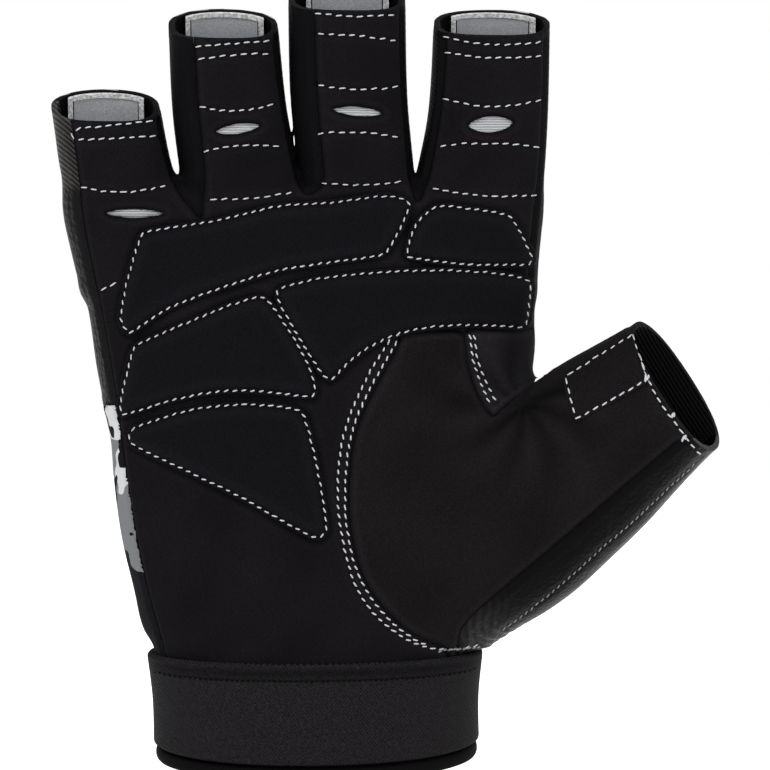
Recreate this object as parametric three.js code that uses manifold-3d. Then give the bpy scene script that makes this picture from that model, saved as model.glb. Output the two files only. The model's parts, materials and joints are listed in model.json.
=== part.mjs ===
// A half-finger weightlifting glove for the right hand, filled out as it is when a hand wears it.
// Millimetres. +Z runs up through the palm to the finger openings, +X towards the thumb,
// and the palm faces -Y. The origin is the middle of the wrist opening.
import * as THREE from "three";
import { mergeVertices } from "three/addons/utils/BufferGeometryUtils.js";
import Module from "manifold-3d";

const wasm = await Module();
wasm.setup();

// Main sizes
const HAND_WIDTH = 98.6; // across the knuckles, outside
const PALM_HEIGHT = 125; // from the wrist opening to the crotches between the fingers
const HAND_DEPTH = 40; // the filled wrist and palm, front to back
const FINGER_WIDTH = 25;
const FINGER_DEPTH = 21;
const FINGER_LENGTH = 40.4; // the middle finger, from the crotches to its opening
const THUMB_LENGTH = 69; // from the middle of the ball of the thumb to its opening
const THUMB_WIDTH = 34; // at the opening
const THUMB_DEPTH = 26;
const WALL = 1.8; // suede and cloth walls
const GAP = 0.3; // between neighbouring pieces

// How the hand is held
const TURN = 0.17; // the little finger's side comes forward by this share of the way across
const THUMB_RISE = 36.6; // degrees the thumb points up
const THUMB_LEAN = 22; // degrees it leans out of the palm
const THUMB_ROOT = { across: 0.274, up: 0.344, forward: 3 };

// Seams
const FINGER_SEAM = 1; // from a finger's right edge to its front seam
const SIDE_SEAM = 3; // from the outer edge of the palm to its front seam
const INDEX_SEAM = 1.2; // from the palm's thumb-side edge to its front seam
const BACK_SEAM = 3; // the back panel's seam, behind the middle of the hand
const STRIP_BEHIND = 6; // how far the thumb's leather strip reaches round the back
const SIDE_STRIP_END = 0.616; // the outer side strip ends at this share of the palm's height
const GUSSET_TOP = 0.75; // the web gusset's upper edge
const THUMB_TOP = 0.745; // the thumb panel's upper edge, under the pads

// Openings
const RIM_SLOPE = 0.38; // a finger's opening rises towards the back
const THUMB_RIM_RISE = 33; // degrees, of the thumb opening's axis
const THUMB_RIM_LEAN = 18;
const CUFF_SLOPE = 0.17; // the wrist opening drops towards the palm side

// Things on the shell
const PAD = 2.6; // thickness of the palm pads
const PAD_MARGIN = 0.45; // from a pad's stitch line to its edge
const PATCH = 1; // thickness of the thumb patch
const LINING = 0.9; // thickness of the linings and of the cloth behind the slits
const LINING_REACH = 22; // how far the lining goes down a finger
const SLIT_COVER = 2.5; // how far the cloth behind a slit reaches past it
const SHELL_BOTTOM = 15; // the shell's lower edge, covered by the strap
const BINDING_HEIGHT = 3.4;
const BINDING_PROUD = 1.4;
const STRAP = 1.6; // thickness of the elastic strap
const STRAP_BOTTOM = 3.7;
const STRAP_TOP = 23.1;
const STRAP_TOP_SLOPE = 0.087;
const TAB = { left: -0.15, right: 0.24, thickness: 1.4, inset: 1 };

// Fineness
const PALM_SIDES = 36;
const FINGER_SIDES = 18;
const THUMB_SIDES = 22;
const CORNER = 2.2; // radius at the corners of cut outlines
const FAR = 200; // past everything

const table = (columns, rows) =>
  rows.map((row) => Object.fromEntries(columns.map((c, i) => [c, row[i]])));

// The filled hand's sections. up is a share of PALM_HEIGHT, left and right of HAND_WIDTH,
// front and back of HAND_DEPTH, and power is how square the section is.
const PALM = table(["up", "left", "right", "front", "back", "power"], [
  [-0.08, -0.342, 0.344, 0.6, 0.6, 2.1],
  [0, -0.342, 0.344, 0.6, 0.6, 2.1],
  [0.1, -0.344, 0.342, 0.585, 0.575, 2.1],
  [0.17, -0.354, 0.35, 0.56, 0.54, 2.15],
  [0.195, -0.36, 0.355, 0.555, 0.53, 2.2],
  [0.225, -0.381, 0.377, 0.555, 0.52, 2.2],
  [0.28, -0.4, 0.392, 0.55, 0.5, 2.3],
  [0.37, -0.427, 0.413, 0.535, 0.46, 2.4],
  [0.47, -0.445, 0.437, 0.51, 0.42, 2.5],
  [0.565, -0.458, 0.462, 0.49, 0.4, 2.6],
  [0.655, -0.478, 0.482, 0.47, 0.37, 2.7],
  [0.787, -0.504, 0.486, 0.44, 0.34, 2.8],
  [0.885, -0.532, 0.488, 0.4, 0.32, 2.8],
  [0.955, -0.548, 0.494, 0.345, 0.3, 2.7],
  [0.985, -0.544, 0.49, 0.26, 0.23, 2.5],
  [1, -0.53, 0.48, 0.13, 0.12, 2.4],
]);

// How far the middle of the hand leans to the palm side, as a share of PALM_HEIGHT.
const LEAN = table(["up", "forward"], [
  [-0.1, -0.012],
  [0, 0],
  [0.22, 0.016],
  [0.48, 0.024],
  [0.76, 0.032],
  [1, 0.056],
  [1.16, 0.104],
  [1.28, 0.156],
  [1.38, 0.205],
  [1.5, 0.27],
]);

// A row for each section of each finger. up runs from the root, inside the palm, to the opening.
// across is a share of HAND_WIDTH, and width of FINGER_WIDTH.
const FINGER_ROOT = 0.84; // a share of PALM_HEIGHT
const FINGER_FRONT_POWER = 3;
const FINGER_BACK_POWER = 2.2;
const FINGER_SECTIONS = table(["finger", "up", "across", "width"], [
  ["pinky", 0, -0.382, 1.06],
  ["pinky", 0.35, -0.413, 1.05],
  ["pinky", 0.65, -0.442, 0.965],
  ["pinky", 1, -0.463, 0.93],
  ["ring", 0, -0.142, 1.04],
  ["ring", 0.35, -0.163, 1.055],
  ["ring", 0.65, -0.19, 0.99],
  ["ring", 1, -0.203, 0.935],
  ["middle", 0, 0.096, 1.03],
  ["middle", 0.35, 0.089, 1.012],
  ["middle", 0.65, 0.072, 1.016],
  ["middle", 1, 0.068, 1.008],
  ["index", 0, 0.335, 1.15],
  ["index", 0.35, 0.36, 1.14],
  ["index", 0.65, 0.381, 1.05],
  ["index", 1, 0.388, 1.01],
]);

// length is a share of FINGER_LENGTH, and seam, from the left edge to the front seam, of
// FINGER_WIDTH. The slit's middle is a share of HAND_WIDTH and PALM_HEIGHT, its length and
// height of FINGER_WIDTH, and it rises to the right by slope.
const FINGERS = table(
  ["name", "length", "seam", "slitAcross", "slitUp", "slitLength", "slitHeight", "slope"],
  [
    ["pinky", 0.432, 0.16, -0.397, 0.947, 0.5, 0.08, 0],
    ["ring", 0.864, 0.22, -0.17, 1.093, 0.39, 0.09, 0.15],
    ["middle", 1, 0.22, 0.092, 1.124, 0.44, 0.085, -0.07],
    ["index", 0.875, 0.105, 0.385, 1.104, 0.4, 0.145, 0.08],
  ],
);

// The bottoms of the palm panel's notches between the fingers.
const CROTCHES = table(["across", "up"], [
  [-0.25, 0.933],
  [-0.017, 0.979],
  [0.224, 0.964],
]);

// Sections of the thumb. along is a share of THUMB_LENGTH, upper and lower of THUMB_WIDTH,
// front and back of THUMB_DEPTH.
const THUMB_POWER = 2.35;
const THUMB = table(["along", "upper", "lower", "front", "back"], [
  [-0.22, 0.4, -0.42, 0.3, 0.4],
  [0, 0.5, -0.62, 0.58, 0.5],
  [0.15, 0.54, -0.672, 0.62, 0.54],
  [0.31, 0.56, -0.68, 0.62, 0.55],
  [0.45, 0.562, -0.655, 0.59, 0.54],
  [0.62, 0.556, -0.605, 0.55, 0.52],
  [0.8, 0.53, -0.535, 0.52, 0.5],
  [0.98, 0.49, -0.475, 0.5, 0.5],
  [1.12, 0.48, -0.47, 0.5, 0.5],
]);

// Outlines seen from the palm side: shares of HAND_WIDTH and PALM_HEIGHT. The pads' are their
// stitch lines.
const outline = (rows) => table(["across", "up"], rows);
const PADS = {
  pad_upper: outline([
    [-0.378, 0.915], [-0.295, 0.924], [-0.197, 0.937], [-0.085, 0.961], [0.068, 0.969],
    [0.145, 0.98], [0.206, 0.972], [0.187, 0.923], [0.15, 0.876], [0.02, 0.862],
    [-0.155, 0.832], [-0.254, 0.806], [-0.337, 0.778], [-0.415, 0.736], [-0.426, 0.764],
    [-0.4, 0.862],
  ]),
  pad_index: outline([
    [0.199, 0.879], [0.226, 0.939], [0.264, 0.962], [0.33, 0.961], [0.428, 0.948],
    [0.456, 0.912], [0.474, 0.866], [0.348, 0.866], [0.278, 0.869],
  ]),
  pad_middle: outline([
    [-0.092, 0.812], [-0.03, 0.829], [0.139, 0.845], [0.279, 0.847], [0.417, 0.843],
    [0.472, 0.832], [0.465, 0.752], [0.404, 0.754], [0.313, 0.757], [0.208, 0.748],
    [0.145, 0.73], [0.082, 0.7], [0.024, 0.655], [-0.043, 0.741],
  ]),
  pad_outer: outline([
    [-0.396, 0.719], [-0.295, 0.753], [-0.184, 0.791], [-0.112, 0.807], [-0.072, 0.764],
    [0, 0.66], [-0.002, 0.629], [-0.072, 0.637], [-0.184, 0.644], [-0.295, 0.63],
    [-0.428, 0.597], [-0.417, 0.658],
  ]),
  pad_heel: outline([
    [-0.401, 0.576], [-0.345, 0.592], [-0.263, 0.611], [-0.153, 0.619], [-0.035, 0.61],
    [-0.007, 0.551], [0.014, 0.459], [0.026, 0.388], [-0.059, 0.411], [-0.171, 0.463],
    [-0.285, 0.505], [-0.414, 0.548],
  ]),
};

// The C seam between the palm panel and the thumb panel, from the pads down to the strap.
const C_SEAM = outline([
  [0.165, 0.732], [0.114, 0.67], [0.071, 0.596], [0.049, 0.522], [0.047, 0.447],
  [0.06, 0.373], [0.086, 0.299], [0.139, 0.242], [0.215, 0.2], [0.296, 0.182],
]);
// The web gusset's edge, from the pads down to its tip and up to the crotch of the thumb.
const WEB_SEAM = outline([
  [0.33, 0.72], [0.338, 0.679], [0.356, 0.637], [0.38, 0.603], [0.391, 0.598],
  [0.409, 0.615], [0.484, 0.66],
]);
// The leather strip's front seam, from the thumb's opening to the strap.
const STRIP_SEAM = outline([
  [0.8, 0.558], [0.745, 0.521], [0.657, 0.461], [0.568, 0.4], [0.479, 0.34],
  [0.391, 0.28], [0.339, 0.242], [0.312, 0.21],
]);
// The seam between the back panel and the thumb's back.
const THUMB_BACK_SEAM = outline([[0.49, 0.662], [0.43, 0.56], [0.39, 0.4], [0.372, 0.15]]);
const THUMB_PATCH = outline([
  [0.706, 0.742], [0.653, 0.725], [0.594, 0.695], [0.542, 0.664], [0.572, 0.591],
  [0.612, 0.603], [0.653, 0.624], [0.72, 0.664],
]);

const wide = (share) => share * HAND_WIDTH;
const high = (share) => share * PALM_HEIGHT;
const places = (rows) => rows.map((r) => [wide(r.across), high(r.up)]);

// A smooth curve through a table's rows, read at a value of its key column.
function read(rows, key, at) {
  const last = rows.length - 2;
  let i = 0;
  while (i < last && at > rows[i + 1][key]) i++;
  const [a, b] = [rows[i], rows[i + 1]];
  const span = b[key] - a[key];
  const t = THREE.MathUtils.clamp((at - a[key]) / span, 0, 1);
  const slope = (j, column) => {
    const [p, q] = [rows[Math.max(j - 1, 0)], rows[Math.min(j + 1, rows.length - 1)]];
    return ((q[column] - p[column]) / (q[key] - p[key])) * span;
  };
  const value = {};
  for (const column of Object.keys(a)) {
    if (typeof a[column] !== "number" || column === key) continue;
    const [m, n] = [slope(i, column), slope(i + 1, column)];
    value[column] =
      a[column] * (1 + 2 * t) * (1 - t) ** 2 + m * t * (1 - t) ** 2 +
      b[column] * t * t * (3 - 2 * t) + n * t * t * (t - 1);
  }
  return value;
}

const leanAt = (z) => -high(read(LEAN, "up", z / PALM_HEIGHT).forward);

// A geometry as a solid that can be cut and joined.
function solid(geometry) {
  const bare = new THREE.BufferGeometry()
    .setAttribute("position", geometry.getAttribute("position"))
    .setIndex(geometry.getIndex());
  const merged = mergeVertices(bare, 1e-4);
  return new wasm.Manifold(new wasm.Mesh({
    numProp: 3,
    vertProperties: merged.getAttribute("position").array,
    triVerts: new Uint32Array(merged.getIndex().array),
  }));
}

// A closed body through rings of points, lowest ring first.
function loft(rings) {
  const sides = rings[0].length;
  const points = rings.flat();
  const faces = [];
  const at = (ring, i) => ring * sides + (i % sides);
  for (let r = 0; r + 1 < rings.length; r++)
    for (let i = 0; i < sides; i++) {
      faces.push(at(r, i), at(r, i + 1), at(r + 1, i + 1));
      faces.push(at(r, i), at(r + 1, i + 1), at(r + 1, i));
    }
  for (let i = 1; i + 1 < sides; i++) {
    faces.push(at(0, 0), at(0, i + 1), at(0, i));
    const top = rings.length - 1;
    faces.push(at(top, 0), at(top, i), at(top, i + 1));
  }
  const geometry = new THREE.BufferGeometry().setFromPoints(points);
  geometry.setIndex(faces);
  return solid(geometry);
}

// Points round a squared ellipse of a half width, with a half depth and a power for each of its
// two faces: place(u, w) sets a point from its sideways and depth distances.
function ring(sides, half, positive, negative, place) {
  return Array.from({ length: sides }, (_, i) => {
    const angle = (2 * Math.PI * i) / sides;
    const face = Math.sin(angle) > 0 ? positive : negative;
    const bent = (c) => Math.sign(c) * Math.abs(c) ** (2 / face.power);
    return place(half * bent(Math.cos(angle)), face.depth * bent(Math.sin(angle)));
  });
}

const steps = (low, high_, count) =>
  Array.from({ length: count }, (_, i) => low + ((high_ - low) * i) / (count - 1));

// The filled palm and wrist, grown outwards by grow.
function palmBody(grow, top = 1) {
  const stations = [-0.08, 0.02, 0.14, 0.19, 0.23, ...steps(0.3, 0.9, 7), 0.95, 0.985, 1];
  return loft(stations.filter((up) => up <= top).map((up) => {
    const row = read(PALM, "up", up);
    const middle = wide((row.left + row.right) / 2);
    const half = wide((row.right - row.left) / 2) + grow;
    const z = high(up) + (up === 1 ? grow : 0);
    const y = leanAt(high(up));
    const face = (share) => ({ depth: share * HAND_DEPTH + grow, power: row.power });
    return ring(PALM_SIDES, half, face(row.back), face(row.front), (u, w) =>
      new THREE.Vector3(middle + u, y + w, z));
  }));
}

const fingerTop = (finger) => PALM_HEIGHT + finger.length * FINGER_LENGTH;
const fingerAt = (finger, z) => {
  const root = high(FINGER_ROOT);
  const up = (z - root) / (fingerTop(finger) - root);
  const row = read(FINGER_SECTIONS.filter((r) => r.finger === finger.name), "up", up);
  return { middle: wide(row.across), half: (row.width * FINGER_WIDTH) / 2 };
};

// A filled finger, from inside the palm to its opening, or to past it.
function fingerBody(finger, grow, capped) {
  const [root, top] = [high(FINGER_ROOT), fingerTop(finger)];
  const body = loft([...steps(root, top, 6), top + FINGER_DEPTH / 2].map((z) => {
    const { middle, half } = fingerAt(finger, z);
    const face = (power) => ({ depth: FINGER_DEPTH / 2 + grow, power });
    const [back, front] = [face(FINGER_BACK_POWER), face(FINGER_FRONT_POWER)];
    return ring(FINGER_SIDES, half + grow, back, front, (u, w) =>
      new THREE.Vector3(middle + u, leanAt(z) + w, z));
  }));
  if (!capped) return body;
  const opening = new THREE.Vector3(0, leanAt(top), top);
  return body.subtract(beyond(opening, new THREE.Vector3(0, -RIM_SLOPE, 1)));
}

// The thumb's own frame: along its axis, up across it, and out towards the palm side.
const rise = THREE.MathUtils.degToRad(THUMB_RISE);
const lean = THREE.MathUtils.degToRad(THUMB_LEAN);
const thumbAxis = new THREE.Vector3(
  Math.cos(rise) * Math.cos(lean), -Math.sin(lean), Math.sin(rise) * Math.cos(lean));
const thumbUp = new THREE.Vector3(-Math.sin(rise), 0, Math.cos(rise));
const thumbOut = new THREE.Vector3().crossVectors(thumbAxis, thumbUp);
const thumbRoot = new THREE.Vector3(
  wide(THUMB_ROOT.across), -THUMB_ROOT.forward, high(THUMB_ROOT.up));

// The filled thumb, from inside the palm to its opening, or to past it.
function thumbBody(grow, capped) {
  const body = loft([-0.22, ...steps(0, 0.98, 7), 1.12].map((along) => {
    const row = read(THUMB, "along", along);
    const middle = ((row.upper + row.lower) / 2) * THUMB_WIDTH;
    const half = ((row.upper - row.lower) / 2) * THUMB_WIDTH + grow;
    const face = (share) => ({ depth: share * THUMB_DEPTH + grow, power: THUMB_POWER });
    return ring(THUMB_SIDES, half, face(row.front), face(row.back), (u, w) =>
      thumbRoot.clone().addScaledVector(thumbAxis, along * THUMB_LENGTH)
        .addScaledVector(thumbUp, middle + u).addScaledVector(thumbOut, w));
  }));
  if (!capped) return body;
  const [r, l] = [THUMB_RIM_RISE, THUMB_RIM_LEAN].map(THREE.MathUtils.degToRad);
  const facing = new THREE.Vector3(
    Math.cos(r) * Math.cos(l), -Math.sin(l), Math.sin(r) * Math.cos(l));
  return body.subtract(
    beyond(thumbRoot.clone().addScaledVector(thumbAxis, THUMB_LENGTH), facing));
}

// An outline seen from the palm side, with its corners rounded, as a bar that runs front to back.
function prism(points, corner = CORNER) {
  const shape = new THREE.Shape();
  const corners = points.map((p) => new THREE.Vector2(...p));
  corners.forEach((p, i) => {
    const before = corners[(i + corners.length - 1) % corners.length];
    const after = corners[(i + 1) % corners.length];
    const towards = (q) => p.clone().lerp(q, Math.min(0.45, corner / p.distanceTo(q)));
    const [start, end] = [towards(before), towards(after)];
    if (i === 0) shape.moveTo(start.x, start.y);
    else shape.lineTo(start.x, start.y);
    shape.quadraticCurveTo(p.x, p.y, end.x, end.y);
  });
  shape.closePath();
  const bar = new THREE.ExtrudeGeometry(shape, { depth: 2 * FAR, bevelEnabled: false, curveSegments: 3 });
  bar.translate(0, 0, -FAR);
  bar.applyMatrix4(new THREE.Matrix4().makeBasis(
    new THREE.Vector3(1, 0, 0), new THREE.Vector3(0, 0, 1), new THREE.Vector3(0, -1, 0)));
  return solid(bar);
}

// An outline moved outwards by a distance; it runs either way round.
function grown(points, distance) {
  const corners = points.map((p) => new THREE.Vector2(...p));
  const way = THREE.ShapeUtils.isClockWise(corners) ? -1 : 1;
  return corners.map((p, i) => {
    const before = corners[(i + corners.length - 1) % corners.length];
    const after = corners[(i + 1) % corners.length];
    const normals = [[before, p], [p, after]].map(([a, b]) => {
      const d = b.clone().sub(a).normalize();
      return new THREE.Vector2(d.y, -d.x).multiplyScalar(way);
    });
    const mean = normals[0].clone().add(normals[1]).normalize();
    const moved = p.clone().addScaledVector(mean, distance / Math.max(0.5, mean.dot(normals[0])));
    return [moved.x, moved.y];
  });
}

// Everything in front of the hand's middle surface moved back by a distance.
function inFront(distance) {
  const heights = [-FAR / 4, ...steps(0, high(1.4), 12), FAR];
  const edge = heights.map((z) => new THREE.Vector2(leanAt(z) + distance, z));
  const shape = new THREE.Shape([...edge, new THREE.Vector2(-FAR, FAR), new THREE.Vector2(-FAR, -FAR / 4)]);
  const bar = new THREE.ExtrudeGeometry(shape, { depth: 2 * FAR, bevelEnabled: false });
  bar.translate(0, 0, -FAR);
  bar.applyMatrix4(new THREE.Matrix4().makeBasis(
    new THREE.Vector3(0, 1, 0), new THREE.Vector3(0, 0, 1), new THREE.Vector3(1, 0, 0)));
  return solid(bar);
}

// Everything on the far side of a plane through a point, in the direction of its normal.
function beyond(point, normal) {
  const box = new THREE.BoxGeometry(2 * FAR, 2 * FAR, 2 * FAR).translate(0, 0, FAR);
  const turn = new THREE.Quaternion().setFromUnitVectors(
    new THREE.Vector3(0, 0, 1), normal.clone().normalize());
  return solid(box.applyQuaternion(turn).translate(point.x, point.y, point.z));
}

// Everything above a height that follows the slope of the wrist opening.
const above = (z, slope) => beyond(new THREE.Vector3(0, 0, z), new THREE.Vector3(0, -slope, 1));

const block = (x0, x1, y0, y1, z0, z1) => solid(
  new THREE.BoxGeometry(x1 - x0, y1 - y0, z1 - z0)
    .translate((x0 + x1) / 2, (y0 + y1) / 2, (z0 + z1) / 2));

const union = (bodies) => bodies.reduce((a, b) => a.add(b));

// The filled hand grown by a distance, ending at its openings if capped.
const filled = (grow, capped = true) => union([
  palmBody(grow),
  thumbBody(grow, capped),
  ...FINGERS.map((finger) => fingerBody(finger, grow, capped)),
]);

// A layer between two distances from the hand's surface, open at the fingers and the thumb.
const layer = (inner, outer) => filled(outer).subtract(filled(inner, false));

const skin = layer(-WALL, 0).intersect(above(SHELL_BOTTOM, CUFF_SLOPE));

// Front outlines of the panels
const palmLeft = (z) => wide(read(PALM, "up", z / PALM_HEIGHT).left) + SIDE_SEAM;
const palmRight = (z) => wide(read(PALM, "up", z / PALM_HEIGHT).right) - INDEX_SEAM;
function palmOutline() {
  const sideHeights = steps(0, high(CROTCHES[0].up), 6);
  const points = sideHeights.map((z) => [palmLeft(z), z]);
  FINGERS.forEach((finger, i) => {
    for (const z of steps(PALM_HEIGHT, fingerTop(finger) + FINGER_DEPTH, 3)) {
      const { middle, half } = fingerAt(finger, z);
      points.push([middle - half + finger.seam * FINGER_WIDTH, z]);
    }
    for (const z of steps(fingerTop(finger) + FINGER_DEPTH, PALM_HEIGHT, 3)) {
      const { middle, half } = fingerAt(finger, z);
      points.push([middle + half - FINGER_SEAM, z]);
    }
    if (i < CROTCHES.length) points.push([wide(CROTCHES[i].across), high(CROTCHES[i].up)]);
  });
  return [...points, ...sideHeights.toReversed().map((z) => [palmRight(z), z])];
}
const thumbOutline = [
  ...places(C_SEAM),
  [wide(C_SEAM.at(-1).across), 0],
  [FAR, 0],
  [FAR, FAR],
  ...places(WEB_SEAM.toReversed()),
  [wide(WEB_SEAM[0].across), high(THUMB_TOP)],
  [wide(0.18), high(THUMB_TOP)],
];
const gussetOutline = [
  [wide(WEB_SEAM[0].across), high(GUSSET_TOP)],
  ...places(WEB_SEAM),
  [wide(0.62), high(0.745)],
  [wide(0.62), high(GUSSET_TOP)],
];
const stripOutline = [
  ...places(STRIP_SEAM),
  [wide(STRIP_SEAM.at(-1).across), 0],
  [FAR, 0],
  [FAR, high(0.62)],
];
const thumbBackOutline = [...places(THUMB_BACK_SEAM), [FAR, 0], [FAR, FAR], [wide(0.6), high(0.745)]];

const thumbFront = beyond(thumbRoot, thumbOut);
const behindThumb = (distance) =>
  beyond(thumbRoot.clone().addScaledVector(thumbOut, -distance), thumbOut.clone().negate());

const pieces = {};
const SUEDE = new THREE.MeshStandardMaterial({ color: 0x131214, roughness: 0.95, metalness: 0 });
const PAD_SUEDE = new THREE.MeshStandardMaterial({ color: 0x0f0e10, roughness: 0.9, metalness: 0 });
const PRINT = new THREE.MeshStandardMaterial({ color: 0x8d8f92, roughness: 0.85, metalness: 0 });
const GRAINED = new THREE.MeshStandardMaterial({ color: 0x1b1b1c, roughness: 0.55, metalness: 0 });
const KNIT = new THREE.MeshStandardMaterial({ color: 0x17171a, roughness: 0.85, metalness: 0 });
const GREY = new THREE.MeshStandardMaterial({ color: 0x9a9da0, roughness: 0.85, metalness: 0 });
const ELASTIC = new THREE.MeshStandardMaterial({ color: 0x1d1c1e, roughness: 0.8, metalness: 0 });
const add = (name, body, material) => { pieces[name] = { body, material }; };

function addShell() {
  const front = inFront(-0.5 * GAP);
  const beforeBackSeam = inFront(BACK_SEAM);
  const palm = prism(palmOutline()).subtract(prism(grown(thumbOutline, GAP)))
    .subtract(prism(grown(gussetOutline, GAP)));
  const slits = union(FINGERS.map((f) => prism(slitOutline(f, 0), 0.8).intersect(inFront(-FINGER_DEPTH / 6))));
  add("palm_panel", skin.intersect(palm).intersect(front).subtract(slits), SUEDE);

  const frontParts = prism(grown(palmOutline(), GAP)).intersect(inFront(0.5 * GAP));
  const gusset = prism(gussetOutline).intersect(beforeBackSeam);
  const strip = prism(stripOutline).intersect(
    beyond(thumbRoot.clone().addScaledVector(thumbOut, -STRIP_BEHIND), thumbOut));
  const stripKept = prism(grown(stripOutline, GAP)).intersect(
    beyond(thumbRoot.clone().addScaledVector(thumbOut, -STRIP_BEHIND - GAP), thumbOut));
  const thumb = prism(thumbOutline);
  const thumbBack = prism(thumbBackOutline).intersect(behindThumb(GAP));
  const thumbBackKept = prism(grown(thumbBackOutline, GAP)).intersect(behindThumb(0));

  add("web_gusset", skin.intersect(gusset).subtract(thumbBackKept), SUEDE);
  add("thumb_panel", skin.intersect(thumb).intersect(thumbFront).subtract(stripKept), SUEDE);
  add("thumb_strip", skin.intersect(strip), GRAINED);
  add("thumb_back", skin.intersect(thumbBack).subtract(stripKept), KNIT);

  const taken = [prism(grown(gussetOutline, GAP)), prism(grown(thumbOutline, GAP)), thumbBackKept, stripKept];
  const sides = taken.reduce((a, b) => a.subtract(b), skin.intersect(beforeBackSeam).subtract(frontParts));
  const middles = FINGERS.map((f) => fingerAt(f, PALM_HEIGHT).middle);
  const between = (x0, x1, z0 = high(FINGER_ROOT)) =>
    sides.intersect(block(x0, x1, -FAR, FAR, z0, FAR));
  add("pinky_side", between(-FAR, middles[0], high(SIDE_STRIP_END)), GRAINED);
  add("fourchette_pinky_ring", between(middles[0], middles[1]), KNIT);
  add("fourchette_ring_middle", between(middles[1], middles[2]), KNIT);
  add("fourchette_middle_index", between(middles[2], middles[3]), KNIT);
  add("index_side", between(middles[3], FAR, high(GUSSET_TOP) + GAP), KNIT);

  const lowerSide = skin.subtract(frontParts)
    .intersect(block(-FAR, 0, -FAR, FAR, 0, high(SIDE_STRIP_END) - GAP));
  const behind = skin.subtract(inFront(BACK_SEAM + GAP));
  const back = behind.add(lowerSide).subtract(thumbBackKept).subtract(stripKept);
  add("back_panel", back, PRINT);
}

// A finger's slit, pointed at both ends, in the palm panel; reach makes it larger all round.
function slitOutline(finger, reach) {
  const half = (finger.slitLength * FINGER_WIDTH) / 2 + reach;
  const tall = (finger.slitHeight * FINGER_WIDTH) / 2 + reach;
  const row = [[-1, 0], [-0.5, 0.72], [0, 1], [0.5, 0.72], [1, 0], [0.5, -0.72], [0, -1], [-0.5, -0.72]];
  return row.map(([along, across]) => [
    wide(finger.slitAcross) + along * half - across * tall * finger.slope,
    high(finger.slitUp) + across * tall + along * half * finger.slope,
  ]);
}

function addPads() {
  const over = layer(GAP, GAP + PAD).intersect(inFront(-HAND_DEPTH / 8));
  for (const [name, rows] of Object.entries(PADS))
    add(name, over.intersect(prism(grown(places(rows), PAD_MARGIN))), PAD_SUEDE);
  const patch = layer(GAP, GAP + PATCH).intersect(thumbFront);
  add("thumb_patch", patch.intersect(prism(places(THUMB_PATCH), CORNER / 2)), PAD_SUEDE);
}

function addLinings() {
  const under = layer(-WALL - GAP - LINING, -WALL - GAP);
  for (const finger of FINGERS) {
    const top = fingerTop(finger);
    const { middle, half } = fingerAt(finger, top);
    const column = block(middle - half, middle + half, -FAR, FAR, top - LINING_REACH, FAR);
    const behind = under.subtract(inFront(0)).intersect(column);
    add(`${finger.name}_lining`, behind, GREY);
    const cover = prism(slitOutline(finger, SLIT_COVER), 0.8).intersect(inFront(-FINGER_DEPTH / 6));
    add(`${finger.name}_flex_insert`, under.intersect(cover), GREY);
  }
}

function addWrist() {
  const tube = (inner, outer) => palmBody(outer, 0.5).subtract(palmBody(inner, 0.5));
  const wall = tube(-WALL, 0);
  add("cuff", wall.intersect(above(BINDING_HEIGHT, CUFF_SLOPE))
    .subtract(above(SHELL_BOTTOM - GAP, CUFF_SLOPE)), KNIT);
  add("cuff_binding", tube(-WALL, BINDING_PROUD).intersect(above(0, CUFF_SLOPE))
    .subtract(above(BINDING_HEIGHT - GAP, CUFF_SLOPE)), KNIT);
  const band = (inner, outer, inset) => tube(inner, outer)
    .intersect(above(STRAP_BOTTOM + inset, CUFF_SLOPE))
    .subtract(above(STRAP_TOP - inset, STRAP_TOP_SLOPE));
  add("wrist_strap", band(GAP, GAP + STRAP, 0), ELASTIC);
  const tabLayer = band(2 * GAP + STRAP, 2 * GAP + STRAP + TAB.thickness, TAB.inset);
  add("strap_tab", tabLayer.intersect(block(wide(TAB.left), wide(TAB.right), 0, FAR, -FAR, FAR)), KNIT);
}

addShell();
addPads();
addLinings();
addWrist();

// The largest closed part of a cut body, since cuts along a seam can leave crumbs beside it.
function largest({ triVerts, vertProperties }) {
  const parent = Array.from({ length: vertProperties.length / 3 }, (_, i) => i);
  const root = (i) => {
    while (parent[i] !== i) i = parent[i] = parent[parent[i]];
    return i;
  };
  const faces = Array.from({ length: triVerts.length / 3 }, (_, i) =>
    Array.from(triVerts.slice(3 * i, 3 * i + 3)));
  for (const [a, b, c] of faces) {
    parent[root(b)] = root(a);
    parent[root(c)] = root(a);
  }
  const corner = (i) => new THREE.Vector3().fromArray(vertProperties, 3 * i);
  const volumes = new Map();
  for (const [a, b, c] of faces) {
    const volume = corner(a).dot(corner(b).cross(corner(c)));
    volumes.set(root(a), (volumes.get(root(a)) ?? 0) + volume);
  }
  const [kept] = [...volumes].reduce((a, b) => (b[1] > a[1] ? b : a));
  return faces.filter(([a]) => root(a) === kept).flat();
}

// The whole glove is turned a little, so that the little finger's side comes forward.
const turned = new THREE.Matrix4().set(1, 0, 0, 0, TURN, 1, 0, 0, 0, 0, 1, 0, 0, 0, 0, 1);
const glove = new THREE.Group();
for (const [name, { body, material }] of Object.entries(pieces)) {
  const cut = body.getMesh();
  const geometry = new THREE.BufferGeometry()
    .setAttribute("position", new THREE.BufferAttribute(cut.vertProperties, 3))
    .setIndex(largest(cut))
    .toNonIndexed()
    .applyMatrix4(turned);
  const mesh = new THREE.Mesh(mergeVertices(geometry, 1e-5), material);
  mesh.name = name;
  glove.add(mesh);
}

export default glove;
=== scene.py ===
"""A half-finger weightlifting glove for the right hand, filled out as it is when it is worn.

Everything is worked out in millimetres about an upright hand, +Z up to the finger openings, +X to
the thumb and -Y the palm side, and then turned a little, as the part's source does.
"""
import json
import math

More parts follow.
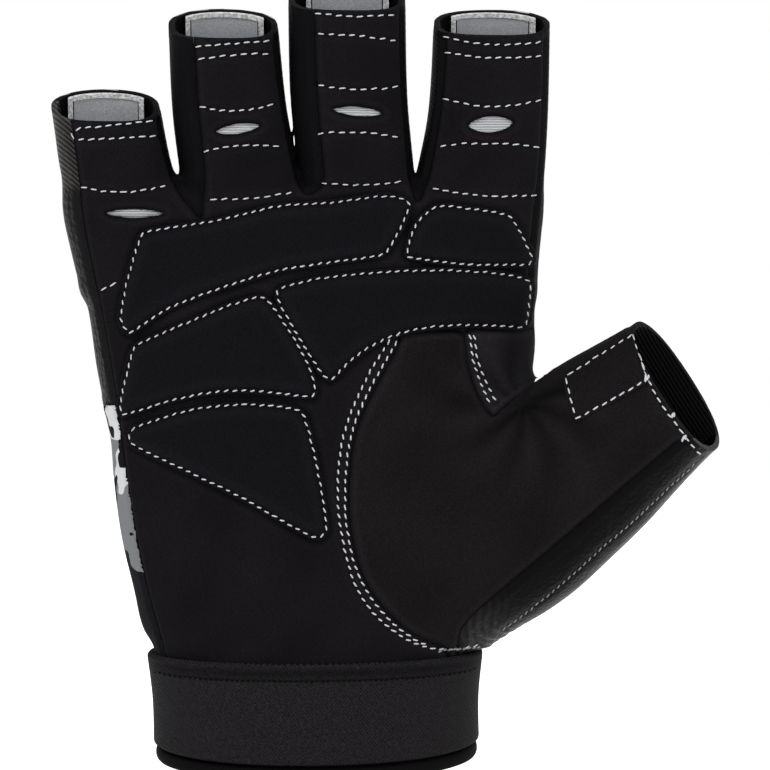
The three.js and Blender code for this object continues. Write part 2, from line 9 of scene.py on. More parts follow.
import bpy
import numpy as np
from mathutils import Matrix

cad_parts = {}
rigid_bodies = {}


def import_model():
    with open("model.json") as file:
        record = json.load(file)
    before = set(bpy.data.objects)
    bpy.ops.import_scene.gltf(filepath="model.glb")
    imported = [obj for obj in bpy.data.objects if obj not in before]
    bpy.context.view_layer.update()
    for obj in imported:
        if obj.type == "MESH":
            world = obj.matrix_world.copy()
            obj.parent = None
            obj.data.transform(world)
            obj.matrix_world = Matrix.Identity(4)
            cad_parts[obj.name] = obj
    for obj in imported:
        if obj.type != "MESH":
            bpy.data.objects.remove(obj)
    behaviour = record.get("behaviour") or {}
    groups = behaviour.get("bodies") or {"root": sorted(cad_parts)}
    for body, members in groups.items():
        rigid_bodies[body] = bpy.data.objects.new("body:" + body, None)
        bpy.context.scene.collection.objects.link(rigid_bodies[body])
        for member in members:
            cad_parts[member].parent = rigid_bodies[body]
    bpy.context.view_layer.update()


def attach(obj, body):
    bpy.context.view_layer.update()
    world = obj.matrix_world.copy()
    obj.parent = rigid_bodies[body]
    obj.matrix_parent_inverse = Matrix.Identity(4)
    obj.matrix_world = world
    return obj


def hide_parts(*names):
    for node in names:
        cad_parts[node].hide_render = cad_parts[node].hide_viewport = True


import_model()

import openvdb
from mathutils import Vector, geometry
from mathutils.bvhtree import BVHTree

MM = 0.001

# Main sizes, as in the part's source
HAND_WIDTH = 98.6
PALM_HEIGHT = 125
HAND_DEPTH = 40
FINGER_WIDTH = 25
FINGER_DEPTH = 21
FINGER_LENGTH = 40.4
THUMB_LENGTH = 69
THUMB_WIDTH = 34
THUMB_DEPTH = 26
TURN = 0.17
THUMB_RISE = 36.6
THUMB_LEAN = 22
THUMB_ROOT = (0.274, -3, 0.344)
FINGER_SEAM = 1
SIDE_SEAM = 3
INDEX_SEAM = 1.2
BACK_SEAM = 3
STRIP_BEHIND = 6
SIDE_STRIP_END = 0.616
GUSSET_TOP = 0.75
THUMB_TOP = 0.745
RIM_SLOPE = 0.38
THUMB_RIM_RISE = 33
THUMB_RIM_LEAN = 20
CUFF_SLOPE = 0.17
SHELL_BOTTOM = 15
BINDING_HEIGHT = 3.4
BINDING_PROUD = 1.4
STRAP = 1.6
STRAP_BOTTOM = 3.7
STRAP_TOP = 23.1
STRAP_TOP_SLOPE = 0.087
PAD = 2.5

# Fineness
VOXEL = 0.68
SPACING = 0.5

# up, left, right, front, back, power
PALM = [
    (-0.12, -0.342, 0.344, 0.6, 0.6, 2.1),
    (0, -0.342, 0.344, 0.6, 0.6, 2.1),
    (0.1, -0.344, 0.342, 0.585, 0.575, 2.1),
    (0.17, -0.354, 0.35, 0.56, 0.54, 2.15),
    (0.195, -0.36, 0.355, 0.555, 0.53, 2.2),
    (0.225, -0.381, 0.377, 0.555, 0.52, 2.2),
    (0.28, -0.4, 0.392, 0.55, 0.5, 2.3),
    (0.37, -0.427, 0.413, 0.535, 0.46, 2.4),
    (0.47, -0.445, 0.437, 0.51, 0.42, 2.5),
    (0.565, -0.458, 0.462, 0.49, 0.4, 2.6),
    (0.655, -0.478, 0.482, 0.47, 0.37, 2.7),
    (0.787, -0.504, 0.486, 0.44, 0.34, 2.8),
    (0.885, -0.532, 0.488, 0.4, 0.32, 2.8),
    (0.955, -0.548, 0.494, 0.37, 0.31, 2.7),
    (1.05, -0.55, 0.49, 0.34, 0.3, 2.6),
]
# up, forward
LEAN = [
    (-0.1, -0.012), (0, 0), (0.22, 0.016), (0.48, 0.024), (0.76, 0.032), (1, 0.056),
    (1.16, 0.104), (1.28, 0.156), (1.38, 0.205), (1.5, 0.27),
]
FINGER_ROOT = 0.84
FINGER_FRONT_POWER = 3
FINGER_BACK_POWER = 2.2
# up, across, width
FINGER_SECTIONS = {
    "pinky": [(0, -0.382, 1.06), (0.35, -0.413, 1.05), (0.65, -0.442, 0.965), (1, -0.463, 0.93)],
    "ring": [(0, -0.142, 1.04), (0.35, -0.163, 1.055), (0.65, -0.19, 0.99), (1, -0.203, 0.935)],
    "middle": [(0, 0.096, 1.03), (0.35, 0.089, 1.012), (0.65, 0.072, 1.016), (1, 0.068, 1.008)],
    "index": [(0, 0.335, 1.15), (0.35, 0.36, 1.14), (0.65, 0.381, 1.05), (1, 0.388, 1.01)],
}
# length, seam, and the slit's across, up, length, height and slope
FINGERS = {
    "pinky": (0.432, 0.16, -0.397, 0.947, 0.5, 0.08, 0),
    "ring": (0.864, 0.22, -0.17, 1.093, 0.39, 0.09, 0.15),
    "middle": (1, 0.22, 0.092, 1.124, 0.44, 0.085, -0.07),
    "index": (0.875, 0.105, 0.385, 1.104, 0.4, 0.145, 0.08),
}
CROTCHES = [(-0.25, 0.933), (-0.017, 0.979), (0.224, 0.964)]
THUMB_POWER = 2.35
# along, upper, lower, front, back
THUMB = [
    (-0.22, 0.4, -0.42, 0.3, 0.4),
    (0, 0.5, -0.62, 0.58, 0.5),
    (0.15, 0.54, -0.672, 0.62, 0.54),
    (0.31, 0.56, -0.68, 0.62, 0.55),
    (0.45, 0.562, -0.655, 0.59, 0.54),
    (0.62, 0.556, -0.605, 0.55, 0.52),
    (0.8, 0.53, -0.535, 0.52, 0.5),
    (0.98, 0.49, -0.475, 0.5, 0.5),
    (1.12, 0.48, -0.47, 0.5, 0.5),
]
# The pads' stitch lines: across, up
PADS = {
    "pad_upper": [
        (-0.378, 0.915), (-0.295, 0.924), (-0.197, 0.937), (-0.085, 0.961), (0.014, 0.965),
        (0.068, 0.969), (0.145, 0.98), (0.191, 0.975), (0.208, 0.966), (0.187, 0.923),
        (0.15, 0.876), (0.02, 0.862), (-0.072, 0.852), (-0.155, 0.832), (-0.254, 0.806),
        (-0.337, 0.778), (-0.393, 0.746), (-0.41, 0.739), (-0.427, 0.764), (-0.417, 0.813),
        (-0.4, 0.862),
    ],
    "pad_index": [
        (0.198, 0.881), (0.212, 0.917), (0.226, 0.939), (0.264, 0.962), (0.305, 0.962),
        (0.383, 0.953), (0.428, 0.948), (0.456, 0.912), (0.478, 0.876), (0.474, 0.862),
        (0.348, 0.86), (0.278, 0.865), (0.201, 0.873),
    ],
    "pad_middle": [
        (-0.089, 0.815), (-0.03, 0.829), (0.02, 0.837), (0.139, 0.847), (0.279, 0.851),
        (0.417, 0.846), (0.472, 0.834), (0.476, 0.824), (0.465, 0.752), (0.404, 0.754),
        (0.313, 0.757), (0.208, 0.748), (0.145, 0.73), (0.082, 0.7), (0.032, 0.657),
        (0.009, 0.675), (-0.043, 0.741), (-0.072, 0.779),
    ],
    "pad_outer": [
        (-0.396, 0.719), (-0.295, 0.753), (-0.184, 0.791), (-0.114, 0.806), (-0.072, 0.764),
        (-0.015, 0.686), (-0.002, 0.648), (-0.003, 0.63), (-0.072, 0.637), (-0.184, 0.644),
        (-0.295, 0.63), (-0.393, 0.606), (-0.425, 0.599), (-0.428, 0.609), (-0.417, 0.658),
    ],
    "pad_heel": [
        (-0.401, 0.576), (-0.345, 0.592), (-0.263, 0.611), (-0.153, 0.619), (-0.059, 0.613),
        (-0.028, 0.604), (-0.007, 0.551), (0.014, 0.459), (0.025, 0.402), (0.014, 0.39),
        (-0.002, 0.388), (-0.059, 0.411), (-0.171, 0.463), (-0.285, 0.505), (-0.379, 0.54),
        (-0.403, 0.549), (-0.409, 0.56),
    ],
}
# The palm's sewn edge round the ball of the thumb, with two stitch rows beside it
C_EDGE = [
    (0.187, 0.724), (0.118, 0.629), (0.092, 0.579), (0.08, 0.54), (0.0745, 0.494),
    (0.072, 0.447), (0.077, 0.402), (0.086, 0.367), (0.1, 0.326), (0.128, 0.286),
    (0.168, 0.249), (0.213, 0.219), (0.247, 0.205), (0.296, 0.19),
]
C_INNER = [
    (0.18, 0.73), (0.109, 0.633), (0.083, 0.582), (0.071, 0.541), (0.065, 0.494),
    (0.063, 0.447), (0.068, 0.401), (0.077, 0.365), (0.092, 0.323), (0.121, 0.281),
    (0.162, 0.243), (0.209, 0.212), (0.244, 0.198),
]
C_STITCHES = [
    (0.165, 0.732), (0.114, 0.67), (0.071, 0.596), (0.049, 0.522), (0.047, 0.447),
    (0.06, 0.373), (0.086, 0.299), (0.139, 0.242), (0.215, 0.2), (0.296, 0.186), (0.362, 0.197),
]
WEB_SEAM = [
    (0.33, 0.72), (0.338, 0.679), (0.356, 0.637), (0.38, 0.603), (0.391, 0.598),
    (0.409, 0.615), (0.484, 0.66),
]
STRIP_SEAM = [
    (0.8, 0.558), (0.745, 0.521), (0.657, 0.461), (0.568, 0.4), (0.479, 0.34),
    (0.391, 0.28), (0.339, 0.242), (0.312, 0.21),
]
THUMB_BACK_SEAM = [(0.49, 0.662), (0.43, 0.56), (0.39, 0.4), (0.372, 0.15)]
PATCH_STITCHES = [(0.696, 0.739), (0.547, 0.666), (0.568, 0.592), (0.722, 0.66)]
THUMB_HEM = [
    (0.69, 0.758), (0.697, 0.725), (0.711, 0.688), (0.725, 0.66), (0.745, 0.628),
    (0.775, 0.598), (0.796, 0.573), (0.821, 0.549), (0.847, 0.528),
]
WEB_STITCHES = [
    [(0.339, 0.742), (0.342, 0.712), (0.348, 0.688), (0.36, 0.661), (0.375, 0.633), (0.383, 0.618)],
    [(0.348, 0.742), (0.354, 0.703), (0.369, 0.665), (0.387, 0.637), (0.398, 0.621)],
]
STRIP_STITCHES = [
    (0.835, 0.516), (0.776, 0.474), (0.705, 0.418), (0.628, 0.367), (0.557, 0.315),
    (0.494, 0.272), (0.445, 0.241), (0.41, 0.22),
]
THUMB_KNOTS = [(0.722, 0.663), (0.782, 0.6), (0.805, 0.56)]
BALL_STITCHES = [(0.268, 0.188), (0.318, 0.19), (0.365, 0.192)]
PINKY_HEM = [
    (-0.353, 1.107), (-0.459, 1.096), (-0.517, 1.093), (-0.533, 1.082),
    (-0.522, 1.073), (-0.463, 1.074), (-0.346, 1.081),
]
PINKY_SIDE_ROW = [(-0.473, 0.813), (-0.433, 0.829)]
# Stitch rows across the fingers: left, its height, the middle's height, right, its height
FINGER_ROWS = [
    (-0.516, 0.994, 0.984, -0.324, 0.996),
    (-0.264, 1.23, 1.237, -0.097, 1.243),
    (-0.259, 1.209, 1.218, -0.098, 1.222),
    (-0.256, 1.132, 1.124, -0.09, 1.138),
    (-0.25, 1.053, 1.065, -0.077, 1.064),
    (-0.235, 0.971, 0.974, -0.048, 0.985),
    (-0.005, 1.29, 1.285, 0.176, 1.29),
    (0.001, 1.255, 1.252, 0.18, 1.246),
    (0.001, 1.17, 1.162, 0.185, 1.17),
    (-0.001, 1.086, 1.089, 0.185, 1.081),
    (0.007, 1.002, 0.998, 0.191, 1.005),
    (0.275, 1.255, 1.24, 0.499, 1.248),
    (0.279, 1.228, 1.218, 0.5, 1.223),
    (0.275, 1.15, 1.135, 0.501, 1.149),
    (0.269, 1.066, 1.072, 0.498, 1.066),
    (0.253, 0.994, 0.981, 0.493, 0.984),
]
# How much lower each opening's front edge is worn, and where its hem's side bands run
OPENINGS = {
    "pinky": (1.6, 0.2, 0.79), "ring": (1.5, 0.2, 0.81),
    "middle": (0.7, 0.2, 0.8), "index": (0.4, 0.2, 0.82),
}
THUMB_WORN = 0.3
SHOWN_WALL = 1.3
SEWN = 0.06
FAR = 200
WEB_CORNER = 3.5
CORNER = 2.2


def wide(share):
    return share * HAND_WIDTH


def high(share):
    return share * PALM_HEIGHT


def places(rows):
    return [(wide(x), high(z)) for x, z in rows]


def column(rows, index, at):
    """A smooth curve through one column of a table, read at values of its first column."""
    keys = np.array([row[0] for row in rows], dtype=float)
    values = np.array([row[index] for row in rows], dtype=float)
    at = np.asarray(at, dtype=float)
    i = np.clip(np.searchsorted(keys, at, side="right") - 1, 0, len(keys) - 2)
    order = np.arange(len(keys))
    before, after = np.maximum(order - 1, 0), np.minimum(order + 1, len(keys) - 1)
    slopes = (values[after] - values[before]) / (keys[after] - keys[before])
    span = keys[i + 1] - keys[i]
    t = np.clip((at - keys[i]) / span, 0, 1)
    m, n = slopes[i] * span, slopes[i + 1] * span
    return (
        values[i] * (1 + 2 * t) * (1 - t) ** 2
        + m * t * (1 - t) ** 2
        + values[i + 1] * t * t * (3 - 2 * t)
        + n * t * t * (t - 1)
    )


def lean_at(z):
    return -PALM_HEIGHT * column(LEAN, 1, np.asarray(z) / PALM_HEIGHT)


def finger_top(name):
    return PALM_HEIGHT + FINGERS[name][0] * FINGER_LENGTH


def finger_at(name, z):
    root = high(FINGER_ROOT)
    up = (np.asarray(z) - root) / (finger_top(name) - root)
    middle = wide(column(FINGER_SECTIONS[name], 1, up))
    return middle, column(FINGER_SECTIONS[name], 2, up) * FINGER_WIDTH / 2


def direction(degrees_up, degrees_forward):
    """A unit vector to the thumb's side, up, and forward to the palm side."""
    rise, lean = math.radians(degrees_up), math.radians(degrees_forward)
    return np.array(
        [math.cos(rise) * math.cos(lean), -math.sin(lean), math.sin(rise) * math.cos(lean)]
    )


# The thumb's own frame: along its axis, up across it, and out towards the palm side
rise = math.radians(THUMB_RISE)
thumb_axis = direction(THUMB_RISE, THUMB_LEAN)
thumb_up = np.array([-math.sin(rise), 0, math.cos(rise)])
thumb_out = np.cross(thumb_axis, thumb_up)
thumb_root = np.array([wide(THUMB_ROOT[0]), THUMB_ROOT[1], high(THUMB_ROOT[2])])


# The filled hand as a field of distances from its surface
LOW = np.array([-64.0, -52.0, -14.0])
HIGH = np.array([97.0, 32.0, 182.0])
AXES = [np.arange(a, b, VOXEL, dtype=np.float32) for a, b in zip(LOW, HIGH)]


def window(low, high_):
    slices = []
    for axis, a, b in zip(range(3), low, high_):
        first = max(0, int((a - LOW[axis]) / VOXEL))
        last = min(len(AXES[axis]), int((b - LOW[axis]) / VOXEL) + 2)
        slices.append(slice(first, last))
    return tuple(slices)


def spread(where):
    x, y, z = (AXES[i][where[i]] for i in range(3))
    return x[:, None, None], y[None, :, None], z[None, None, :]


def squared_ellipse(u, w, half, front, back, front_power, back_power):
    """About the distance from a squared ellipse; the front is where w is below 0."""
    depth = np.where(w < 0, front, back).astype(np.float32)
    power = np.where(w < 0, front_power, back_power).astype(np.float32)
    a = np.maximum(np.abs(u) / half, 1e-3).astype(np.float32)
    b = np.maximum(np.abs(w) / depth, 1e-3).astype(np.float32)
    a_less, b_less = a ** (power - 1), b ** (power - 1)
    r = (a_less * a + b_less * b) ** (1 / power)
    steep = np.sqrt((a_less / half) ** 2 + (b_less / depth) ** 2) * r ** (1 - power)
    return np.clip((r - 1) / np.maximum(steep, 1e-3), -25, 40)


def blend_min(a, b, reach):
    t = np.clip(0.5 + 0.5 * (b - a) / reach, 0, 1)
    return b + (a - b) * t - reach * t * (1 - t)


def blend_max(a, b, reach):
    return -blend_min(-a, -b, reach)


def hand_field():
    shape = tuple(len(axis) for axis in AXES)
    field = np.full(shape, 40, dtype=np.float32)
    fingers = np.full(shape, 40, dtype=np.float32)

    where = window((-62, -45, -14), (60, 32, 134))
    x, y, z = spread(where)
    up = z / PALM_HEIGHT
    left, right = wide(column(PALM, 1, up)), wide(column(PALM, 2, up))
    front, back = (HAND_DEPTH * column(PALM, i, up) for i in (3, 4))
    power = column(PALM, 5, up)
    d = squared_ellipse(
        x - (left + right) / 2, y - lean_at(z), (right - left) / 2, front, back, power, power
    )
    d = blend_max(d, z - PALM_HEIGHT - 0.6, 7)
    field[where] = np.maximum(d, -12 - z)

    for name in FINGERS:
        middle, half = finger_at(name, 140)
        where = window((middle - 26, -48, 98), (middle + 26, 16, 182))
        x, y, z = spread(where)
        middle, half = finger_at(name, z)
        depth = FINGER_DEPTH / 2
        powers = FINGER_FRONT_POWER, FINGER_BACK_POWER
        d = squared_ellipse(x - middle, y - lean_at(z), half, depth, depth, *powers)
        d = np.maximum(blend_max(d, 101 - z, 3), z - finger_top(name) - 9)
        fingers[where] = np.minimum(fingers[where], d)
    field = blend_min(field, fingers, 3.5)

    where = window((0, -52, 0), (97, 24, 116))
    x, y, z = spread(where)
    from_root = [axis - at for axis, at in zip((x, y, z), thumb_root)]
    along, across, out = (
        sum(part * share for part, share in zip(from_root, way))
        for way in (thumb_axis, thumb_up, thumb_out)
    )
    share = along / THUMB_LENGTH
    upper, lower = (THUMB_WIDTH * column(THUMB, i, share) for i in (1, 2))
    front, back = (THUMB_DEPTH * column(THUMB, i, share) for i in (3, 4))
    d = squared_ellipse(
        across - (upper + lower) / 2, -out, (upper - lower) / 2, front, back, THUMB_POWER, THUMB_POWER
    )
    d = np.maximum(blend_max(d, -15 - along, 8), along - THUMB_LENGTH - 10)
    field[where] = blend_min(field[where], d, 9)
    return field


FIELD = hand_field()


def sample(points):
    """The distance from the hand's surface at points, read between the field's places."""
    at = (points - LOW) / VOXEL
    limit = np.array(FIELD.shape) - 2
    low = np.clip(np.floor(at).astype(int), 0, limit)
    f = np.clip(at - low, 0, 1)
    total = 0
    for i in (0, 1):
        for j in (0, 1):
            for k in (0, 1):
                weight = (
                    (f[:, 0] if i else 1 - f[:, 0])
                    * (f[:, 1] if j else 1 - f[:, 1])
                    * (f[:, 2] if k else 1 - f[:, 2])
                )
                total = total + weight * FIELD[low[:, 0] + i, low[:, 1] + j, low[:, 2] + k]
    return total


def outward(points):
    """Unit vectors straight out of the hand's surface."""
    step = VOXEL
    ways = []
    for axis in range(3):
        move = np.zeros(3)
        move[axis] = step
        ways.append(sample(points + move) - sample(points - move))
    ways = np.stack(ways, axis=1)
    return ways / np.maximum(np.linalg.norm(ways, axis=1, keepdims=True), 1e-6)


def front_map():
    """How far forward the hand's surface is, at every place seen from the palm side."""
    inside = FIELD < 0
    first = np.argmax(inside, axis=1)
    hit = inside.any(axis=1)
    ix, iz = np.indices(first.shape)
    before = np.maximum(first - 1, 0)
    a, b = FIELD[ix, before, iz], FIELD[ix, first, iz]
    t = np.clip(a / np.where(a - b == 0, 1, a - b), 0, 1)
    y = LOW[1] + VOXEL * (before + t)
    return np.where(hit, y, np.nan)


FRONT = front_map()


def front_points(flat):
    """The places on the palm side's surface of points given by x and z."""
    at = (flat - LOW[[0, 2]]) / VOXEL
    low = np.clip(np.floor(at).astype(int), 0, np.array(FRONT.shape) - 2)
    f = np.clip(at - low, 0, 1)
    total, weights = 0, 0
    for i in (0, 1):
        for k in (0, 1):
            value = FRONT[low[:, 0] + i, low[:, 1] + k]
            weight = (f[:, 0] if i else 1 - f[:, 0]) * (f[:, 1] if k else 1 - f[:, 1]) + 1e-6
            weight = np.where(np.isnan(value), 0, weight)
            total = total + weight * np.nan_to_num(value)
            weights = weights + weight
    y = total / np.maximum(weights, 1e-9)
    return np.column_stack([flat[:, 0], y, flat[:, 1]])


# Mesh helpers
scene = bpy.context.scene
shop = bpy.data.collections.new("shop")
scene.collection.children.link(shop)


BOX_BASE = (-1, -1), (1, -1), (1, 1), (-1, 1)
BOX_FACES = [(3, 2, 1, 0), (4, 5, 6, 7), (0, 1, 5, 4), (1, 2, 6, 5), (2, 3, 7, 6), (3, 0, 4, 7)]
BAR_ENDS = -80, 60
BAND_OF_FIELD = 5


def to_object(name, points, faces):
    mesh = bpy.data.meshes.new(name)
    mesh.from_pydata([tuple(p) for p in points], [], [tuple(int(i) for i in f) for f in faces])
    mesh.update()
    obj = bpy.data.objects.new(name, mesh)
    shop.objects.link(obj)
    return obj


def level(distance, step=1):
    """The closed surface at a distance from the hand's own; a larger step makes it coarser."""
    field = FIELD[::step, ::step, ::step] - distance
    grid = openvdb.FloatGrid(float(BAND_OF_FIELD))
    grid.copyFromArray(np.ascontiguousarray(np.clip(field, -BAND_OF_FIELD, BAND_OF_FIELD)))
    points, quads = grid.convertToQuads(0.0)
    points = points * VOXEL * step + LOW
    mesh = bpy.data.meshes.new("level")
    mesh.vertices.add(len(points))
    mesh.vertices.foreach_set("co", points.astype(np.float32).ravel())
    mesh.loops.add(quads.size)
    mesh.loops.foreach_set("vertex_index", quads.astype(np.int32).ravel())
    mesh.polygons.add(len(quads))
    mesh.polygons.foreach_set("loop_start", np.arange(0, quads.size, 4, dtype=np.int32))
    mesh.update(calc_edges=True)
    obj = bpy.data.objects.new("level", mesh)
    shop.objects.link(obj)
    return obj


def area_of(flat):
    """Twice an outline's area, below 0 where it runs clockwise."""
    flat = np.asarray(flat)
    ahead = np.roll(flat, -1, axis=0)
    return np.sum(flat[:, 0] * ahead[:, 1] - flat[:, 1] * ahead[:, 0])


def prism(flat):
    """An outline seen from the palm side, as a bar that runs front to back."""
    flat = [tuple(p) for p in flat]
    if area_of(flat) < 0:
        flat.reverse()
    n = len(flat)
    points = [(x, y, z) for y in BAR_ENDS for x, z in flat]
    faces = [tuple(range(n)), tuple(range(2 * n - 1, n - 1, -1))]
    faces += [(i, i + n, (i + 1) % n + n, (i + 1) % n) for i in range(n)]
    return to_object("bar", points, faces)


def half_space(point, normal, low=None, high_=None):
    """All that lies past a plane through a point; it may be kept within a box."""
    normal = Vector(normal).normalized()
    turn = Vector((0, 0, 1)).rotation_difference(normal).to_matrix()
    corners = [(x, y, z) for z in (0, 2 * FAR) for x, y in BOX_BASE]
    points = [Vector(point) + turn @ Vector((x * FAR, y * FAR, z)) for x, y, z in corners]
    space = to_object("space", points, BOX_FACES)
    return space if low is None else common(space, block(low, high_))


def block(low, high_):
    (x0, y0, z0), (x1, y1, z1) = low, high_
    points = [(x, y, z) for z in (z0, z1) for x, y in ((x0, y0), (x1, y0), (x1, y1), (x0, y1))]
    return to_object("block", points, BOX_FACES)


def in_front(distance):
    """All that lies in front of the hand's middle surface moved back by a distance."""
    heights = np.linspace(-30, FAR, 90)
    edge = [(float(lean_at(z)) + distance, z) for z in heights]
    edge += [(-FAR, FAR), (-FAR, -30)]
    n = len(edge)
    points = [(-FAR, y, z) for y, z in edge] + [(FAR, y, z) for y, z in edge]
    faces = [tuple(range(n - 1, -1, -1)), tuple(range(n, 2 * n))]
    faces += [(i, (i + 1) % n, (i + 1) % n + n, i + n) for i in range(n)]
    return to_object("before", points, faces)


def cut(base, others, operation):
    """The base joined with, cut by or kept within other bodies, one after another."""
    current = base
    for other in others:
        work = bpy.data.objects.new("work", current.data)
        shop.objects.link(work)
        modifier = work.modifiers.new("cut", "BOOLEAN")
        modifier.operation = operation
        modifier.solver = "MANIFOLD"
        modifier.object = other
        graph = bpy.context.evaluated_depsgraph_get()
        mesh = bpy.data.meshes.new_from_object(work.evaluated_get(graph))
        bpy.data.objects.remove(work)
        current = bpy.data.objects.new("cut", mesh)
        shop.objects.link(current)
    return current


def common(base, *others):
    return cut(base, others, "INTERSECT")


def minus(base, *others):
    return cut(base, others, "DIFFERENCE")


def read_mesh(obj):
    mesh = obj.data
    mesh.calc_loop_triangles()
    points = np.empty(len(mesh.vertices) * 3, dtype=np.float32)
    mesh.vertices.foreach_get("co", points)
    corners = np.empty(len(mesh.loop_triangles) * 3, dtype=np.int32)
    mesh.loop_triangles.foreach_get("vertices", corners)
    return points.reshape(-1, 3).astype(float), corners.reshape(-1, 3)


def largest(points, triangles):
    """The biggest connected part, since cuts along a seam can leave crumbs beside it."""
    label = np.arange(len(points))
    edges = np.concatenate([triangles[:, [0, 1]], triangles[:, [1, 2]]])
    while True:
        low = np.minimum(label[edges[:, 0]], label[edges[:, 1]])
        new = label.copy()
        np.minimum.at(new, edges[:, 0], low)
        np.minimum.at(new, edges[:, 1], low)
        new = new[new][new]
        if np.array_equal(new, label):
            break
        label = new
    kinds, counts = np.unique(label[triangles[:, 0]], return_counts=True)
    kept = triangles[label[triangles[:, 0]] == kinds[np.argmax(counts)]]
    used, flat = np.unique(kept, return_inverse=True)
    return points[used], flat.reshape(-1, 3)


# Outlines
def flow(points, closed=True, corner=CORNER, spacing=SPACING):
    """An outline with sharp corners rounded and slight ones smoothed, at an even spacing."""
    points = [np.array(p, dtype=float) for p in points]
    n = len(points)
    path = []
    for i in range(n):
        p = points[i]
        if not closed and i in (0, n - 1):
            path.append(p)
            continue
        before, after = points[i - 1], points[(i + 1) % n]
        into, out_of = p - before, after - p
        lengths = np.linalg.norm(into), np.linalg.norm(out_of)
        turn = math.acos(np.clip(np.dot(into, out_of) / (lengths[0] * lengths[1]), -1, 1))
        reach = [0.5 * length if turn < 0.6 else min(0.45 * length, corner) for length in lengths]
        start = p - into / lengths[0] * reach[0]
        end = p + out_of / lengths[1] * reach[1]
        for t in np.linspace(0, 1, 9):
            path.append((1 - t) ** 2 * start + 2 * t * (1 - t) * p + t * t * end)
    if closed:
        path.append(path[0])
    path = np.array(path)
    steps = np.linalg.norm(np.diff(path, axis=0), axis=1)
    keep = np.concatenate([[True], steps > 1e-6])
    path = path[keep]
    length = np.concatenate([[0], np.cumsum(np.linalg.norm(np.diff(path, axis=0), axis=1))])
    count = max(2, int(round(length[-1] / spacing)))
    at = np.linspace(0, length[-1], count + 1)
    even = np.column_stack([np.interp(at, length, path[:, i]) for i in (0, 1)])
    return even[:-1] if closed else even


def grown(flat, distance):
    """A closed, evenly spaced outline moved outwards."""
    flat = np.asarray(flat, dtype=float)
    ahead = np.roll(flat, -1, axis=0) - np.roll(flat, 1, axis=0)
    normal = np.column_stack([ahead[:, 1], -ahead[:, 0]]) * np.sign(area_of(flat))
    normal /= np.maximum(np.linalg.norm(normal, axis=1, keepdims=True), 1e-9)
    return flat + normal * distance


def distance_to(path, flat, closed=False):
    """The distance of flat points from a path."""
    path = np.asarray(path)
    ends = np.roll(path, -1, axis=0) if closed else path[1:]
    starts = path if closed else path[:-1]
    nearest = np.full(len(flat), 1e9)
    for a, b in zip(starts, ends):
        along = b - a
        t = np.clip(((flat - a) @ along) / max(along @ along, 1e-9), 0, 1)
        gap = flat - a - t[:, None] * along
        nearest = np.minimum(nearest, np.einsum("ij,ij->i", gap, gap))
    return np.sqrt(nearest)


def palm_outline():
    heights = np.linspace(0, high(CROTCHES[0][1]), 7)
    points = [(wide(float(column(PALM, 1, z / PALM_HEIGHT))) + SIDE_SEAM, z) for z in heights]
    for i, name in enumerate(FINGERS):
        top = finger_top(name) + FINGER_DEPTH
        for z in np.linspace(PALM_HEIGHT, top, 4):
            middle, half = finger_at(name, z)
            points.append((middle - half + FINGERS[name][1] * FINGER_WIDTH, z))
        for z in np.linspace(top, PALM_HEIGHT, 4):
            middle, half = finger_at(name, z)
            points.append((middle + half - FINGER_SEAM, z))
        if i < len(CROTCHES):
            points.append((wide(CROTCHES[i][0]), high(CROTCHES[i][1])))
    heights = heights[::-1]
    points += [(wide(float(column(PALM, 2, z / PALM_HEIGHT))) - INDEX_SEAM, z) for z in heights]
    return flow(points)


def slit_outline(name, reach):
    _, _, across, up, length, height, slope = FINGERS[name]
    half, tall = length * FINGER_WIDTH / 2 + reach, height * FINGER_WIDTH / 2 + reach
    points = []
    for angle in np.linspace(0, 2 * math.pi, 40, endpoint=False):
        s = math.cos(angle)
        c = math.copysign(abs(math.sin(angle)) ** 1.5, math.sin(angle))
        points.append(
            (wide(across) + s * half - c * tall * slope, high(up) + c * tall + s * half * slope)
        )
    return points


PALM_LINE = palm_outline()
THUMB_LINE = flow(
    places(C_EDGE)
    + [(wide(C_EDGE[-1][0]), 0), (FAR, 0), (FAR, FAR)]
    + places(WEB_SEAM[::-1])
    + [(wide(WEB_SEAM[0][0]), high(THUMB_TOP)), (wide(0.18), high(THUMB_TOP))],
    corner=WEB_CORNER,
)
GUSSET_LINE = flow(
    [(wide(WEB_SEAM[0][0]), high(GUSSET_TOP))]
    + places(WEB_SEAM)
    + [(wide(0.62), high(0.745)), (wide(0.62), high(GUSSET_TOP))],
    corner=WEB_CORNER,
)
STRIP_LINE = flow(
    places(STRIP_SEAM) + [(wide(STRIP_SEAM[-1][0]), 0), (FAR, 0), (FAR, high(0.62))]
)
THUMB_BACK_LINE = flow(
    places(THUMB_BACK_SEAM) + [(FAR, 0), (FAR, FAR), (wide(0.6), high(0.745))]
)


# Bodies that the panels are cut from
def rim_plane(name, below=0.0):
    """The plane of a finger's opening; its front edge is a little lower than the back's."""
    top = finger_top(name) - below
    drop = OPENINGS[name][0]
    return (0, float(lean_at(top)), top - drop / 2), (0, -RIM_SLOPE - drop / FINGER_DEPTH, 1)


# The places across between the fingers, and the box that the thumb's opening is in
BETWEEN = [-90, -32.8, -7, 22.3, 90]
FINGERS_FROM = 128
THUMB_BOX = (56, -90, 30), (130, 60, 110)
thumb_facing = direction(THUMB_RIM_RISE, THUMB_RIM_LEAN)
thumb_top = thumb_root + thumb_axis * (THUMB_LENGTH - THUMB_WORN)


